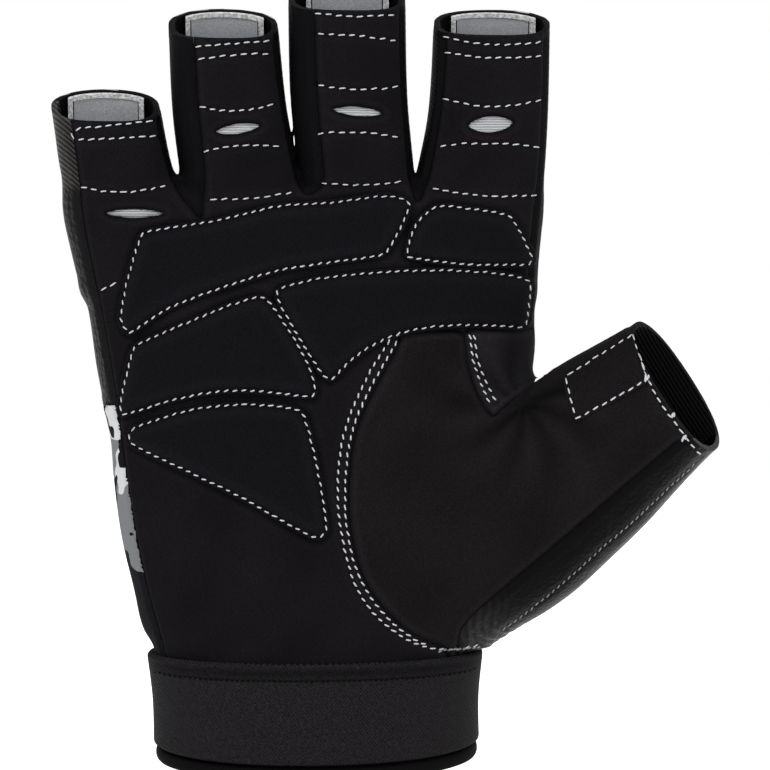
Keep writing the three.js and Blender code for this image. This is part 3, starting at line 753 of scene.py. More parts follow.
def openings(below=0.0):
    """All that lies past the five openings, brought down by a distance."""
    spaces = []
    for i, name in enumerate(FINGERS):
        low, high_ = (BETWEEN[i], -90, FINGERS_FROM), (BETWEEN[i + 1], 60, FAR)
        spaces.append(half_space(*rim_plane(name, below), low, high_))
    at = thumb_top - thumb_facing * below
    spaces.append(half_space(at, thumb_facing, *THUMB_BOX))
    return spaces


def above(z, slope):
    return half_space((0, 0, z), (0, -slope, 1))


def from_opening(points):
    """How far points are from the plane of the nearest opening."""
    near = np.full(len(points), 99.0)
    planes = [
        (*rim_plane(name), BETWEEN[i], BETWEEN[i + 1], FINGERS_FROM, FAR)
        for i, name in enumerate(FINGERS)
    ]
    (left, _, low), (right, _, high_) = THUMB_BOX
    planes.append((thumb_top, thumb_facing, left, right, low, high_))
    for at, normal, left, right, low, high_ in planes:
        normal = np.array(normal) / np.linalg.norm(normal)
        x, _, z = points.T
        here = (x > left) & (x < right) & (z > low) & (z < high_)
        near[here] = np.minimum(near[here], np.abs((points[here] - np.array(at)) @ normal))
    return near


shell = minus(level(0), level(-SHOWN_WALL, 2), *openings())
shell = common(shell, above(SHELL_BOTTOM, CUFF_SLOPE))


# Rings about the wrist
def wrist_ring(z, grow, sides=240):
    """Points round the wrist at a height, grown out by a distance, as their x and y."""
    up = z / PALM_HEIGHT
    left, right = (wide(float(column(PALM, i, up))) for i in (1, 2))
    front, back = (HAND_DEPTH * float(column(PALM, i, up)) for i in (3, 4))
    power = float(column(PALM, 5, up))
    angle = np.linspace(0, 2 * np.pi, sides, endpoint=False)
    c, s = np.cos(angle), np.sin(angle)
    depth = np.where(s < 0, front, back) + grow
    half = (right - left) / 2 + grow
    x = (left + right) / 2 + half * np.sign(c) * np.abs(c) ** (2 / power)
    y = depth * np.sign(s) * np.abs(s) ** (2 / power)
    return x, y


def band(profile, sides=240, picot=None):
    """A closed ring round the wrist: profile rows are a height, its slope and a distance out.

    Rows at the height called picot have small teeth."""
    points = []
    teeth = np.where(np.arange(sides) % 4 < 2, 0.22, -0.08)
    for z, slope, grow in profile:
        x, y = wrist_ring(z, grow, sides)
        height = z + slope * y + (teeth if z == picot else 0)
        points.append(np.column_stack([x, y + float(lean_at(z)), height]))
    stack = np.concatenate(points)
    rows = len(profile)
    faces = []
    for r in range(rows):
        after = (r + 1) % rows
        for i in range(sides):
            j = (i + 1) % sides
            faces.append((r * sides + i, after * sides + i, after * sides + j, r * sides + j))
    return stack, faces


def section(z0, slope0, z1, slope1, inside, outside, rounding, steps=14):
    """The profile of a band between two edges, rounded at both."""
    rows = []
    for t in np.linspace(0, 1, steps):
        edge = min(t, 1 - t) * (z1 - z0)
        fall = max(0.0, 1 - edge / rounding)
        drop = (1 - math.sqrt(max(0.0, 1 - fall * fall))) * rounding * 0.8
        rows.append((z0 + t * (z1 - z0), slope0 + t * (slope1 - slope0), outside - drop))
    rows += [(z1, slope1, inside), (z0, slope0, inside)]
    return rows


wrist_space = to_object(
    "wrist_space",
    *band([(-8, CUFF_SLOPE, 0.12), (STRAP_TOP + 0.3, STRAP_TOP_SLOPE, 0.12),
           (STRAP_TOP + 0.3, STRAP_TOP_SLOPE, 14), (-8, CUFF_SLOPE, 14)]),
)


shell = minus(shell, wrist_space)

front_half = in_front(-SEWN / 2)
before_back = in_front(BACK_SEAM)
palm_bar = prism(PALM_LINE)
palm_bar_kept = prism(grown(PALM_LINE, SEWN))
thumb_bar = prism(THUMB_LINE)
gusset_bar = prism(GUSSET_LINE)
thumb_bar_kept = prism(grown(THUMB_LINE, SEWN))
gusset_bar_kept = prism(grown(GUSSET_LINE, SEWN))
slits = [
    common(prism(flow(slit_outline(name, 0), corner=0.8, spacing=0.3)), in_front(-FINGER_DEPTH / 6))
    for name in FINGERS
]
strip_front = half_space(thumb_root - thumb_out * STRIP_BEHIND, thumb_out)
strip_front_kept = half_space(thumb_root - thumb_out * (STRIP_BEHIND + SEWN), thumb_out)
thumb_half = half_space(thumb_root, thumb_out)
behind_thumb = half_space(thumb_root - thumb_out * SEWN, -thumb_out)
behind_thumb_kept = half_space(thumb_root, -thumb_out)

strip_space = common(prism(STRIP_LINE), strip_front)
strip_kept = common(prism(grown(STRIP_LINE, SEWN)), strip_front_kept)
thumb_back_space = common(prism(THUMB_BACK_LINE), behind_thumb)
thumb_back_kept = common(prism(grown(THUMB_BACK_LINE, SEWN)), behind_thumb_kept)

bodies = {}
bodies["palm_panel"] = minus(
    common(shell, front_half, palm_bar), thumb_bar_kept, gusset_bar_kept, *slits
)
bodies["web_gusset"] = minus(common(shell, gusset_bar, before_back), thumb_back_kept)
bodies["thumb_panel"] = minus(common(shell, thumb_bar, thumb_half), strip_kept)
bodies["thumb_strip"] = common(shell, strip_space)
bodies["thumb_back"] = minus(common(shell, thumb_back_space), strip_kept)

front_parts = common(palm_bar_kept, in_front(SEWN / 2))
sides = minus(
    common(shell, before_back), front_parts, gusset_bar_kept, thumb_bar_kept, thumb_back_kept, strip_kept
)
middles = [float(finger_at(name, PALM_HEIGHT)[0]) for name in FINGERS]


def between(x0, x1, z0=high(FINGER_ROOT)):
    return common(sides, block((x0, -FAR, z0), (x1, FAR, FAR)))


bodies["pinky_side"] = between(-FAR, middles[0], high(SIDE_STRIP_END))
bodies["fourchette_pinky_ring"] = between(middles[0], middles[1])
bodies["fourchette_ring_middle"] = between(middles[1], middles[2])
bodies["fourchette_middle_index"] = between(middles[2], middles[3])
bodies["index_side"] = between(middles[3], FAR, high(GUSSET_TOP) + SEWN)
below_strip = block((-FAR, -FAR, 0), (0, FAR, high(SIDE_STRIP_END) - SEWN))
side_front = common(minus(shell, front_parts), below_strip)
behind = minus(shell, in_front(BACK_SEAM + SEWN))
bodies["back_panel"] = minus(cut(behind, [side_front], "UNION"), thumb_back_kept, strip_kept)


# Materials
def linear(grey):
    """A display grey, from 0 to 255, as a share of light."""
    return (grey / 255) ** 2.2


def colour(r, g, b):
    return (linear(r), linear(g), linear(b), 1)


class Finish:
    """A material under construction, with short ways to add its parts."""

    def __init__(self, name, roughness, specular):
        self.material = bpy.data.materials.new(name)
        self.material.use_nodes = True
        self.tree = self.material.node_tree
        self.shader = self.tree.nodes["Principled BSDF"]
        self.shader.inputs["Roughness"].default_value = roughness
        self.shader.inputs["Specular IOR Level"].default_value = specular
        self.places = self.node("TexCoord").outputs["Object"]

    def feed(self, socket, value):
        """Gives a socket another one's output, or a plain value."""
        if hasattr(value, "links"):
            self.tree.links.new(value, socket)
        else:
            socket.default_value = value

    def node(self, kind, inputs=(), **settings):
        made = self.tree.nodes.new(f"ShaderNode{kind}")
        for key, value in settings.items():
            setattr(made, key, value)
        for key, value in dict(inputs).items():
            self.feed(made.inputs[key], value)
        return made

    def mapped(self, size, stretch=(1, 1, 1), degrees=0):
        """Places in units of a size in millimetres, stretched, and turned about the Y axis."""
        scale = [1 / (size * MM * s) for s in stretch]
        inputs = {"Vector": self.places, "Scale": scale, "Rotation": (0, math.radians(degrees), 0)}
        return self.node("Mapping", inputs).outputs["Vector"]

    def noise(self, size, detail=3, stretch=(1, 1, 1)):
        inputs = {"Scale": 1, "Detail": detail, "Vector": self.mapped(size, stretch)}
        return self.node("TexNoise", inputs).outputs["Fac"]

    def cells(self, size):
        inputs = {"Scale": 1, "Vector": self.mapped(size)}
        return self.node("TexVoronoi", inputs).outputs["Distance"]

    def lines(self, pitch, degrees, distortion=0.0):
        """Parallel ribs of a pitch in millimetres."""
        inputs = {
            "Scale": 2 * math.pi / 20,
            "Distortion": distortion,
            "Vector": self.mapped(pitch, degrees=degrees),
        }
        return self.node("TexWave", inputs).outputs["Fac"]

    def step(self, axis, start, end, most=1.0):
        """A value that grows from 0 to its most between two places along an axis."""
        inputs = {
            "Value": self.node("SeparateXYZ", {0: self.places}).outputs[axis],
            "From Min": start * MM,
            "From Max": end * MM,
            "To Max": most,
        }
        return self.node("MapRange", inputs).outputs["Result"]

    def ramp(self, value, stops, interpolation="LINEAR"):
        made = self.node("ValToRGB", {"Fac": value})
        made.color_ramp.interpolation = interpolation
        for element, (at, tone) in zip(made.color_ramp.elements, stops):
            element.position = at
            element.color = tone
        return made.outputs["Color"]

    def mix(self, a, b, share):
        return self.node("MixRGB", {"Color1": a, "Color2": b, "Fac": share}).outputs["Color"]

    def scaled_sum(self, value, factor, other):
        inputs = {0: value, 1: factor, 2: other}
        return self.node("Math", inputs, operation="MULTIPLY_ADD").outputs[0]

    def sum(self, *parts):
        """Heights in millimetres added up: parts are pairs of a value and a height."""
        total = 0
        for value, height in parts:
            total = self.scaled_sum(value, height * MM, total)
        return total

    def bump(self, height):
        made = self.node("Bump", {"Distance": 1.0, "Strength": 1.0, "Height": height})
        self.feed(self.shader.inputs["Normal"], made.outputs["Normal"])

    def shaded(self, value):
        """A colour scaled by the piece's shade attribute, mostly painted shade and painted highlights.
        """
        shade = self.node("Attribute", attribute_name="shade").outputs["Fac"]
        factor = self.node("Math", {0: shade, 1: 1}, operation="ADD").outputs[0]
        tone = value if hasattr(value, "links") else value[:3]
        inputs = {0: tone, "Scale": factor}
        return self.node("VectorMath", inputs, operation="SCALE").outputs["Vector"]

    def base(self, value):
        self.feed(self.shader.inputs["Base Color"], value)
        return self.material


def suede(name, dark, pale):
    finish = Finish(name, 0.85, 0.04)
    fine, broad = finish.noise(0.35, 4), finish.noise(9, 2)
    finish.bump(finish.sum((fine, 0.05), (broad, 0.25)))
    tone = finish.mix(finish.ramp(fine, [(0.3, dark), (0.75, pale)]), dark, 0.3)
    return finish.base(finish.shaded(tone))


def grained_leather():
    finish = Finish("grained_leather", 0.36, 0.04)
    cells, broad = finish.cells(0.9), finish.noise(5, 3)
    finish.bump(finish.sum((cells, 0.1), (broad, 0.4)))
    return finish.base(finish.shaded(colour(8, 8, 8)))


def knit():
    finish = Finish("side_cloth", 0.7, 0.05)
    ribs, fine = finish.lines(0.6, 32), finish.noise(0.3, 2)
    finish.bump(finish.sum((ribs, 0.08), (fine, 0.05)))
    return finish.base(colour(11, 11, 13))


def camouflage():
    """Two greys with black patches, and more black low on the little finger's side."""
    finish = Finish("printed_cloth", 0.85, 0.03)
    greys = [(0, colour(98, 99, 101)), (0.5, colour(166, 167, 168))]
    pale = finish.ramp(finish.noise(17, 2, (1, 1, 0.7)), greys, "CONSTANT")
    patches = finish.noise(11, 2, (1.2, 1, 0.8))
    more = finish.scaled_sum(finish.step("Z", 44, 34, 0.35), finish.step("X", -22, -32), patches)
    dark = finish.ramp(more, [(0, (0, 0, 0, 1)), (0.54, (1, 1, 1, 1))], "CONSTANT")
    finish.bump(finish.sum((finish.lines(0.5, 45), 0.05)))
    return finish.base(finish.mix(pale, colour(24, 24, 27), dark))


def stretch_cloth():
    finish = Finish("flex_cloth", 0.8, 0.1)
    lines, fine = finish.lines(0.55, 90, 1.5), finish.noise(0.4, 3)
    finish.bump(finish.sum((lines, 0.06), (fine, 0.05)))
    return finish.base(
        finish.ramp(lines, [(0, colour(108, 110, 112)), (1, colour(154, 155, 157))])
    )


def plain_cloth(name, dark, pale, size, height):
    finish = Finish(name, 0.8, 0.05)
    fine = finish.noise(size, 4)
    finish.bump(finish.sum((fine, height)))
    return finish.base(finish.ramp(fine, [(0.3, dark), (0.7, pale)]))


def elastic():
    """Twill with flecks and upright ribs."""
    finish = Finish("elastic", 0.7, 0.04)
    twill, fine = finish.lines(0.55, 38), finish.noise(0.3, 2)
    flecks, ribs = finish.noise(0.42, 2, (1, 1, 0.6)), finish.noise(0.9, 2, (1, 1, 0.06))
    finish.bump(finish.sum((twill, 0.12), (fine, 0.06)))
    tone = finish.mix(
        finish.ramp(twill, [(0.1, colour(13, 12, 13)), (0.9, colour(33, 31, 33))]),
        finish.ramp(flecks, [(0.4, colour(9, 9, 9)), (0.72, colour(52, 50, 52))]),
        0.4,
    )
    ribbed = finish.ramp(ribs, [(0.38, colour(13, 12, 13)), (0.66, colour(42, 40, 42))])
    return finish.base(finish.shaded(finish.mix(tone, ribbed, 0.25)))


def side_leather():
    """Grained leather that turns into a ribbed cloth along the finger."""
    finish = Finish("side_leather", 0.5, 0.08)
    step = finish.step("Z", high(0.985), high(1.0))
    ribs, cells = finish.lines(0.8, 50, 0.6), finish.cells(1.3)
    finish.bump(finish.mix(finish.sum((cells, 0.35)), finish.sum((ribs, 0.25)), step))
    ribbed = finish.ramp(ribs, [(0.2, colour(16, 16, 16)), (0.9, colour(52, 51, 49))])
    return finish.base(finish.mix(colour(11, 11, 12), ribbed, step))


def ribbed_knit():
    finish = Finish("ribbed_knit", 0.75, 0.05)
    ribs, fine = finish.lines(0.8, THUMB_RISE - 4, 1.2), finish.noise(0.35, 2)
    finish.bump(finish.sum((ribs, 0.2), (fine, 0.08)))
    return finish.base(finish.ramp(ribs, [(0.2, colour(8, 8, 9)), (0.9, colour(16, 16, 17))]))


# dark and pale
SUEDES = {
    "palm_suede": ((16, 15, 17), (26, 24, 26)),
    "thumb_suede": ((18, 17, 18), (29, 27, 28)),
    # A paler copy of the suede for the web gusset: painted light where the gusset is lit
    "web_suede": ((21, 20, 21), (33, 31, 33)),
    "pad_suede": ((14, 13, 15), (23, 22, 25)),
}
# dark, pale, size and height of the unevenness
CLOTHS = {
    "lining": ((140, 142, 146), (164, 166, 170), 0.4, 0.08),
    "hem": ((140, 140, 142), (215, 215, 215), 0.7, 0.3),
    "binding": ((8, 8, 9), (14, 14, 15), 0.5, 0.04),
    "thread": ((140, 141, 144), (186, 187, 190), 0.3, 0.02),
    "dark_thread": ((6, 6, 6), (12, 12, 13), 0.3, 0.02),
    "grey_thread": ((92, 92, 95), (128, 128, 131), 0.3, 0.02),
}
MATERIALS = {
    "printed_cloth": camouflage(),
    "grained_leather": grained_leather(),
    "side_leather": side_leather(),
    "ribbed_knit": ribbed_knit(),
    "side_cloth": knit(),
    "flex_cloth": stretch_cloth(),
    "elastic": elastic(),
}
for name, (dark, pale) in SUEDES.items():
    MATERIALS[name] = suede(name, colour(*dark), colour(*pale))
for name, (dark, pale, size, height) in CLOTHS.items():
    MATERIALS[name] = plain_cloth(name, colour(*dark), colour(*pale), size, height)

look = bpy.data.collections.new("look")
scene.collection.children.link(look)
shown = {}


def turned(points):
    """Millimetres to metres, with the whole glove turned a little."""
    points = np.array(points, dtype=float)
    points[:, 1] += TURN * points[:, 0]
    return points * MM


def unturned(points):
    """Metres back to millimetres about the upright hand."""
    points = points.reshape(-1, 3) / MM
    points[:, 1] -= TURN * points[:, 0]
    return points


def set_shade(obj, values):
    attribute = obj.data.attributes.new("shade", "FLOAT", "POINT")
    attribute.data.foreach_set("value", np.asarray(values, dtype=np.float32))


def bell(distance, centre, width):
    return np.exp(-(((distance - centre) / width) ** 2))


def place(name, points, faces, material, slot, nodes=(), smooth_angle=0.7):
    """Shows a piece, which may stand for nodes of the part."""
    points = [tuple(p) for p in turned(points).tolist()]
    mesh = bpy.data.meshes.new(name)
    mesh.from_pydata(points, [], [tuple(f) for f in np.asarray(faces).tolist()])
    mesh.validate()
    mesh.update()
    mesh.shade_smooth()
    mesh.set_sharp_from_angle(angle=smooth_angle)
    mesh.materials.append(MATERIALS[material])
    obj = bpy.data.objects.new(f"{name}_look", mesh)
    look.objects.link(obj)
    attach(obj, "root")
    if nodes:
        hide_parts(*nodes)
    shown[name] = obj
    return obj


def rim_distance(points, triangles, outside):
    """How far each outside point is from the edge of its piece's outside."""
    is_out = outside[triangles]
    mixed = triangles[is_out.any(axis=1) & ~is_out.all(axis=1)]
    rim = np.unique(mixed[outside[mixed]])
    distance = np.full(len(points), 99.0)
    if not len(rim):
        return distance
    cell = 3.0
    buckets = {}
    for i in rim:
        buckets.setdefault(tuple((points[i] // cell).astype(int)), []).append(i)
    buckets = {k: points[v] for k, v in buckets.items()}
    keys = (points // cell).astype(int)
    order = np.lexsort(keys.T)
    groups = np.split(order, np.flatnonzero(np.any(np.diff(keys[order], axis=0), axis=1)) + 1)
    for group in groups:
        key = keys[group[0]]
        near = [
            buckets[(key[0] + i, key[1] + j, key[2] + k)]
            for i in (-1, 0, 1) for j in (-1, 0, 1) for k in (-1, 0, 1)
            if (key[0] + i, key[1] + j, key[2] + k) in buckets
        ]
        if near:
            near = np.concatenate(near)
            gaps = points[group][:, None, :] - near[None, :, :]
            distance[group] = np.sqrt(np.einsum("ijk,ijk->ij", gaps, gaps).min(axis=1))
    return distance


def waves(points):
    """Slight unevenness of cloth that a hand fills."""
    x, _, z = points.T
    slow = np.sin(x / 5.1 + z / 9.7) * np.sin(z / 7.3 - x / 12.1 + 1.3)
    return 0.16 * slow + 0.07 * np.sin(x / 2.7 - z / 3.9 + 2 * np.sin(z / 8))


def web_folds(points):
    """Folds that run out of the web of the thumb, over the ball."""
    x, _, z = points.T
    dx, dz = x - wide(0.45), z - high(0.62)
    away, angle = np.hypot(dx, dz), np.arctan2(dz, dx)
    fold = np.sin(9 * angle + away / 7) * np.exp(-(((away - 10) / 9) ** 2))
    crease = bell(dz + 1.5 - 0.55 * dx, 0, 1.6) * bell(dx, 1, 7)
    return 0.3 * fold - 0.5 * crease + waves(points)


def strip_folds(points):
    """Fine creases across the thumb's leather strip, where it meets the wrist."""
    along = (points - thumb_root) @ thumb_axis
    creases = np.sin(along * 2.9 + np.sin(along))
    return 0.2 * creases * np.exp(-(((along + 1) / 7) ** 2)) + 0.5 * waves(points)


def strip_painted_highlight(points):
    """A painted highlight on the leather, in fine upright streaks, where it turns in above the wrist."""
    away = np.linalg.norm(points[:, [0, 2]] - np.array(PAINTED_HIGHLIGHT_AT), axis=1)
    streaks = 0.8 + 0.45 * np.sin(points[:, 0] * 3.4 + np.sin(points[:, 2] * 0.7))
    return PAINTED_HIGHLIGHT * bell(away, 0, 7) * streaks


# Where the thumb strip's painted highlight sits, and how strong it is
PAINTED_HIGHLIGHT_AT = (35.5, 26.5)
PAINTED_HIGHLIGHT = 24
GROOVES = []
FLANGE = 0.9
TUCK = 0.55
PILLOW = 0.16
RIM_REACH = 2.5


def finish_panel(name, material, slot, wrinkle=None, painted_highlight=None):
    """A panel with tucked edges, grooves under its stitches and folds, each with painted shade and
    highlights.
    """
    points, triangles = largest(*read_mesh(bodies[name]))
    outside = sample(points) > -0.25
    distance = rim_distance(points, triangles, outside)
    kept = np.clip(from_opening(points) / RIM_REACH, 0.1, 1)
    move = kept * (PILLOW * bell(distance, 1.5, 0.8) - TUCK * bell(distance, 0, 0.8))
    # Painted shade along the panel's edge, with a painted highlight on the lip just inside it
    shade = 0.45 * bell(distance, 1.1, 0.55) - 0.75 * bell(distance, 0, 0.4)
    flat = points[:, [0, 2]]
    facing = points[:, 1] < lean_at(points[:, 2]) - 2
    near_front = outside & facing
    for path, depth, width in GROOVES:
        low, high_ = path.min(axis=0) - 2, path.max(axis=0) + 2
        picked = np.flatnonzero(near_front & (flat > low).all(axis=1) & (flat < high_).all(axis=1))
        if len(picked):
            gap = distance_to(path, flat[picked])
            move[picked] -= depth * bell(gap, 0, width)
            # Painted shade in the groove, with a painted highlight beside it
            shade[picked] += 0.2 * bell(gap, 1.1, 0.5) - 0.3 * bell(gap, 0, 0.45)
    if wrinkle is not None:
        bumps = wrinkle(points) * np.clip(distance / 2, 0, 1)
        move += bumps
        # Painted light on the folds: ridges paler, hollows darker
        shade += 0.9 * bumps
    if painted_highlight is not None:
        # The given painted highlight
        shade += painted_highlight(points)
    move[~outside] = 0
    shade[~outside] = 0
    points = points + outward(points) * move[:, None]
    panel = place(name, points, triangles, material, slot, (name,))
    set_shade(panel, shade)
    return panel


def across(left, left_up, middle_up, right, right_up):
    """A row across a finger, bowed up or down in its middle."""
    t = np.linspace(0, 1, 13)
    bow = 4 * (middle_up - (left_up + right_up) / 2)
    up = left_up + (right_up - left_up) * t + bow * t * (1 - t)
    return np.column_stack([wide(left + (right - left) * t), high(up)])


def open_row(points, corner=3):
    return flow(places(points), closed=False, corner=corner, spacing=0.5)


finger_rows = [across(*row) for row in FINGER_ROWS]
finger_rows += [open_row(PINKY_HEM, 1.2), open_row(PINKY_SIDE_ROW)]
palm_rows = [open_row(C_STITCHES), open_row(C_INNER)]
web_rows = [open_row(row) for row in WEB_STITCHES]
thumb_rows = [open_row(THUMB_HEM), open_row(PATCH_STITCHES + PATCH_STITCHES[:1], 1)]
strip_rows = [open_row(STRIP_STITCHES)]
# Grooves round the pads, which finish_panel darkens with painted shade and edges with a painted
# highlight
for path in PADS.values():
    edge = grown(flow(places(path), spacing=0.6), FLANGE + 0.35)
    GROOVES.append((np.concatenate([edge, edge[:1]]), 0.22, 0.7))
sewn_rows = finger_rows + palm_rows + web_rows + thumb_rows[:1] + strip_rows
GROOVES += [(row, 0.2, 0.55) for row in sewn_rows]

# name: material, slot, folds and painted highlight
PANELS = {
    "palm_panel": ("palm_suede", "palm_suede", waves),
    "web_gusset": ("web_suede", "palm_suede", web_folds),
    "thumb_panel": ("thumb_suede", "palm_suede", web_folds),
    "thumb_strip": ("grained_leather", "grained_leather", strip_folds, strip_painted_highlight),
    "thumb_back": ("ribbed_knit", "side_cloth"),
    "pinky_side": ("side_leather", "grained_leather", waves),
    "fourchette_pinky_ring": ("side_cloth", "side_cloth"),
    "fourchette_ring_middle": ("side_cloth", "side_cloth"),
    "fourchette_middle_index": ("side_cloth", "side_cloth"),
    "index_side": ("side_cloth", "side_cloth"),
    "back_panel": ("printed_cloth", "printed_cloth", waves),
}
for name, row in PANELS.items():
    finish_panel(name, *row)

# The printed cloth is plain black inside
back = shown["back_panel"]
back.data.materials.append(MATERIALS["binding"])
centres = np.empty(len(back.data.polygons) * 3, dtype=np.float32)
back.data.polygons.foreach_get("center", centres)
centres = unturned(centres)
inward = (sample(centres) < -0.45).astype(np.int32)
back.data.polygons.foreach_set("material_index", inward)


def inside_of(flat, line):
    """Which flat points an outline goes round."""
    inside = np.zeros(len(flat), dtype=bool)
    for a, b in zip(line, np.roll(line, -1, axis=0)):
        crosses = (a[1] > flat[:, 1]) != (b[1] > flat[:, 1])
        up = b[1] - a[1] if b[1] != a[1] else 1e-9
        inside ^= crosses & (flat[:, 0] < a[0] + (flat[:, 1] - a[1]) * (b[0] - a[0]) / up)
    return inside


# Pads
FLANGE_HEIGHT = 0.9
PAD_SPACING = 0.45


def pad_height(d):
    """The height of a pad's top at a distance inside its edge."""
    edge = 0.3 + 0.6 * np.sqrt(np.clip(1 - (1 - np.clip(d / 0.45, 0, 1)) ** 2, 0, 1))
    puff = (PAD - FLANGE_HEIGHT) * (1 - np.exp(-np.maximum(d - FLANGE, 0) / 1.7))
    return edge + puff - 0.4 * bell(d, FLANGE, 0.42)


def cross(flat, f):
    a, b, c = (flat[i] for i in f[:3])
    return (b[0] - a[0]) * (c[1] - a[1]) - (b[1] - a[1]) * (c[0] - a[0])


def add_pad(name, path):
    edge = grown(flow(places(path), spacing=PAD_SPACING), FLANGE)
    edge = flow(edge, corner=0.3, spacing=PAD_SPACING)
    low, high_ = edge.min(axis=0), edge.max(axis=0)
    columns = np.arange(low[0], high_[0], PAD_SPACING)
    lines = np.arange(low[1], high_[1], PAD_SPACING * 0.87)
    grid = np.array(
        [(x + (i % 2) * PAD_SPACING / 2, z) for i, z in enumerate(lines) for x in columns]
    )
    grid = grid[inside_of(grid, edge)]
    gap = distance_to(edge, grid, closed=True)
    keep = gap > PAD_SPACING * 0.6
    flat = np.concatenate([edge, grid[keep]])
    count, n = len(edge), len(flat)
    d = np.concatenate([np.zeros(count), gap[keep]])
    edges = [(i, (i + 1) % count) for i in range(count)]
    faces = geometry.delaunay_2d_cdt([Vector(p) for p in flat.tolist()], edges, [], 1, 1e-5)[2]
    base = front_points(flat)
    ways = outward(base)
    x, z = flat.T
    uneven = 0.22 * np.sin(x / 3.3 + z / 6) * np.sin(z / 4.1 - x / 9)
    top = base + ways * (pad_height(d) + uneven * np.clip((d - 1.5) / 4, 0, 1))[:, None]
    under = base + ways * 0.08
    tops = [tuple(f) if cross(flat, f) > 0 else tuple(reversed(f)) for f in faces]
    triangles = tops + [tuple(n + i for i in reversed(f)) for f in tops]
    for i, j in edges:
        a, b, c, e = (i, n + i, n + j, j) if area_of(edge) > 0 else (j, n + j, n + i, i)
        triangles += [(a, b, c), (a, c, e)]
    points = np.concatenate([top, under])
    pad = place(name, points, triangles, "pad_suede", "pad_suede", (name,), 1.0)
    # Painted highlights on the pad's rounded edge and puffed top, painted shade in its stitch groove, at
    # its outer edge and underneath
    shade = 0.4 * bell(d, 2.4, 1.1) + 0.6 * bell(d, 0.4, 0.22)
    shade -= 0.55 * bell(d, 1, 0.3) + 0.6 * bell(d, 0, 0.15)
    set_shade(pad, np.concatenate([shade, np.full(n, -0.5)]))


for name, path in PADS.items():
    add_pad(name, path)


# Linings, hems and the stretch cloth in the slits
def layer_of(outer_at, inner_at):
    """A layer of cloth between two distances inside the shell."""
    return minus(level(-SHOWN_WALL - outer_at), level(-SHOWN_WALL - inner_at))


def add_body(name, body, material, slot, nodes=()):
    return place(name, *largest(*read_mesh(body)), material, slot, nodes)


def strip_of(layer, name, left, right, above_rim, below=22):
    """Part of a layer behind a finger's opening, between two shares of its width."""
    top = finger_top(name)
    middle, half = (float(v) for v in finger_at(name, top))
    start = middle - half
    box = block(
        (start + left * 2 * half, -FAR, top - below), (start + right * 2 * half, FAR, FAR)
    )
    return minus(common(layer, box), not_in_front, half_space(*rim_plane(name, above_rim)))


lining_layer, hem_layer = layer_of(0.1, 0.6), layer_of(0.1, 1.0)
not_in_front = in_front(0)
for name, (_, left, right) in OPENINGS.items():
    lining = strip_of(lining_layer, name, left, right, 1.25)
    add_body(f"{name}_lining", lining, "lining", "lining", (f"{name}_lining",))
    hem = strip_of(hem_layer, name, left - 0.05, right + 0.06, 0.25)
    hem = common(hem, half_space(*rim_plane(name, 1.1)))
    add_body(f"{name}_hem", hem, "hem", "lining")
    ends = ("left", left - 0.05, left - 0.01), ("right", right + 0.01, right + 0.06)
    for side, a, b in ends:
        add_body(f"{name}_hem_{side}", strip_of(hem_layer, name, a, b, 1.2, 20), "hem", "lining")

    line = np.array(slit_outline(name, 0))
    cover = prism(flow(slit_outline(name, 1.6), corner=0.8, spacing=0.4))
    body = common(lining_layer, cover, in_front(-FINGER_DEPTH / 6))
    points, triangles = largest(*read_mesh(body))
    flat = points[:, [0, 2]]
    gap = distance_to(line, flat, closed=True)
    raised = np.where(inside_of(flat, line), 0.95 * np.clip(gap / 0.5, 0, 1), 0)
    points = points + outward(points) * raised[:, None]
    insert = f"{name}_flex_insert"
    place(insert, points, triangles, "flex_cloth", "flex_cloth", (insert,))

patch_line = grown(flow(places(PATCH_STITCHES), corner=1), 0.7)
patch_layer = minus(level(0.45), level(0.06))
patch = minus(common(patch_layer, prism(patch_line), thumb_half), openings(0.3)[-1])
add_body("thumb_patch", patch, "thumb_suede", "pad_suede", ("thumb_patch",))


# Wrist
def add_band(name, profile, material, slot):
    return place(name, *band(profile), material, slot, (name,), 1.0)


def strap_section(inset, inside, outside, steps):
    """The profile of a band that follows the strap's edges."""
    low, top = STRAP_BOTTOM + inset, STRAP_TOP - inset
    return section(low, CUFF_SLOPE, top, STRAP_TOP_SLOPE, inside, outside, 0.7, steps)[::-1]


cuff_low, cuff_top = BINDING_HEIGHT / 2, SHELL_BOTTOM - 0.4
cuff_corners = (cuff_top, -SHOWN_WALL), (cuff_top, 0), (cuff_low, 0), (cuff_low, -SHOWN_WALL)
add_band("cuff", [(z, CUFF_SLOPE, out) for z, out in cuff_corners], "side_cloth", "side_cloth")
binding = section(
    0, CUFF_SLOPE, BINDING_HEIGHT - 0.3, CUFF_SLOPE, -SHOWN_WALL, BINDING_PROUD, 1.4
)
add_band("cuff_binding", binding[::-1], "binding", "binding")

STRAP_OUT = 0.3 + STRAP
STRAP_SIDES = 720
strap_rows = strap_section(0, 0.3, STRAP_OUT, 60)
points, faces = band(strap_rows, STRAP_SIDES, STRAP_TOP)
strap = place("wrist_strap", points, faces, "elastic", "elastic", ("wrist_strap",), 1.0)
down = np.repeat([STRAP_TOP - row[0] for row in strap_rows], STRAP_SIDES)
set_shade(strap, 0.5 * bell(down, 0, 0.3) - 0.6 * bell(down, 1.6, 1.0) - 0.6 * bell(down, 2.9, 0.2))
tab_ring = to_object("tab_ring", *band(strap_section(1, STRAP_OUT + 0.3, STRAP_OUT + 1.6, 12)))
tab_space = block((wide(-0.15), 0, -FAR), (wide(0.24), FAR, FAR))
add_body("strap_tab", common(tab_ring, tab_space), "side_cloth", "side_cloth", ("strap_tab",))


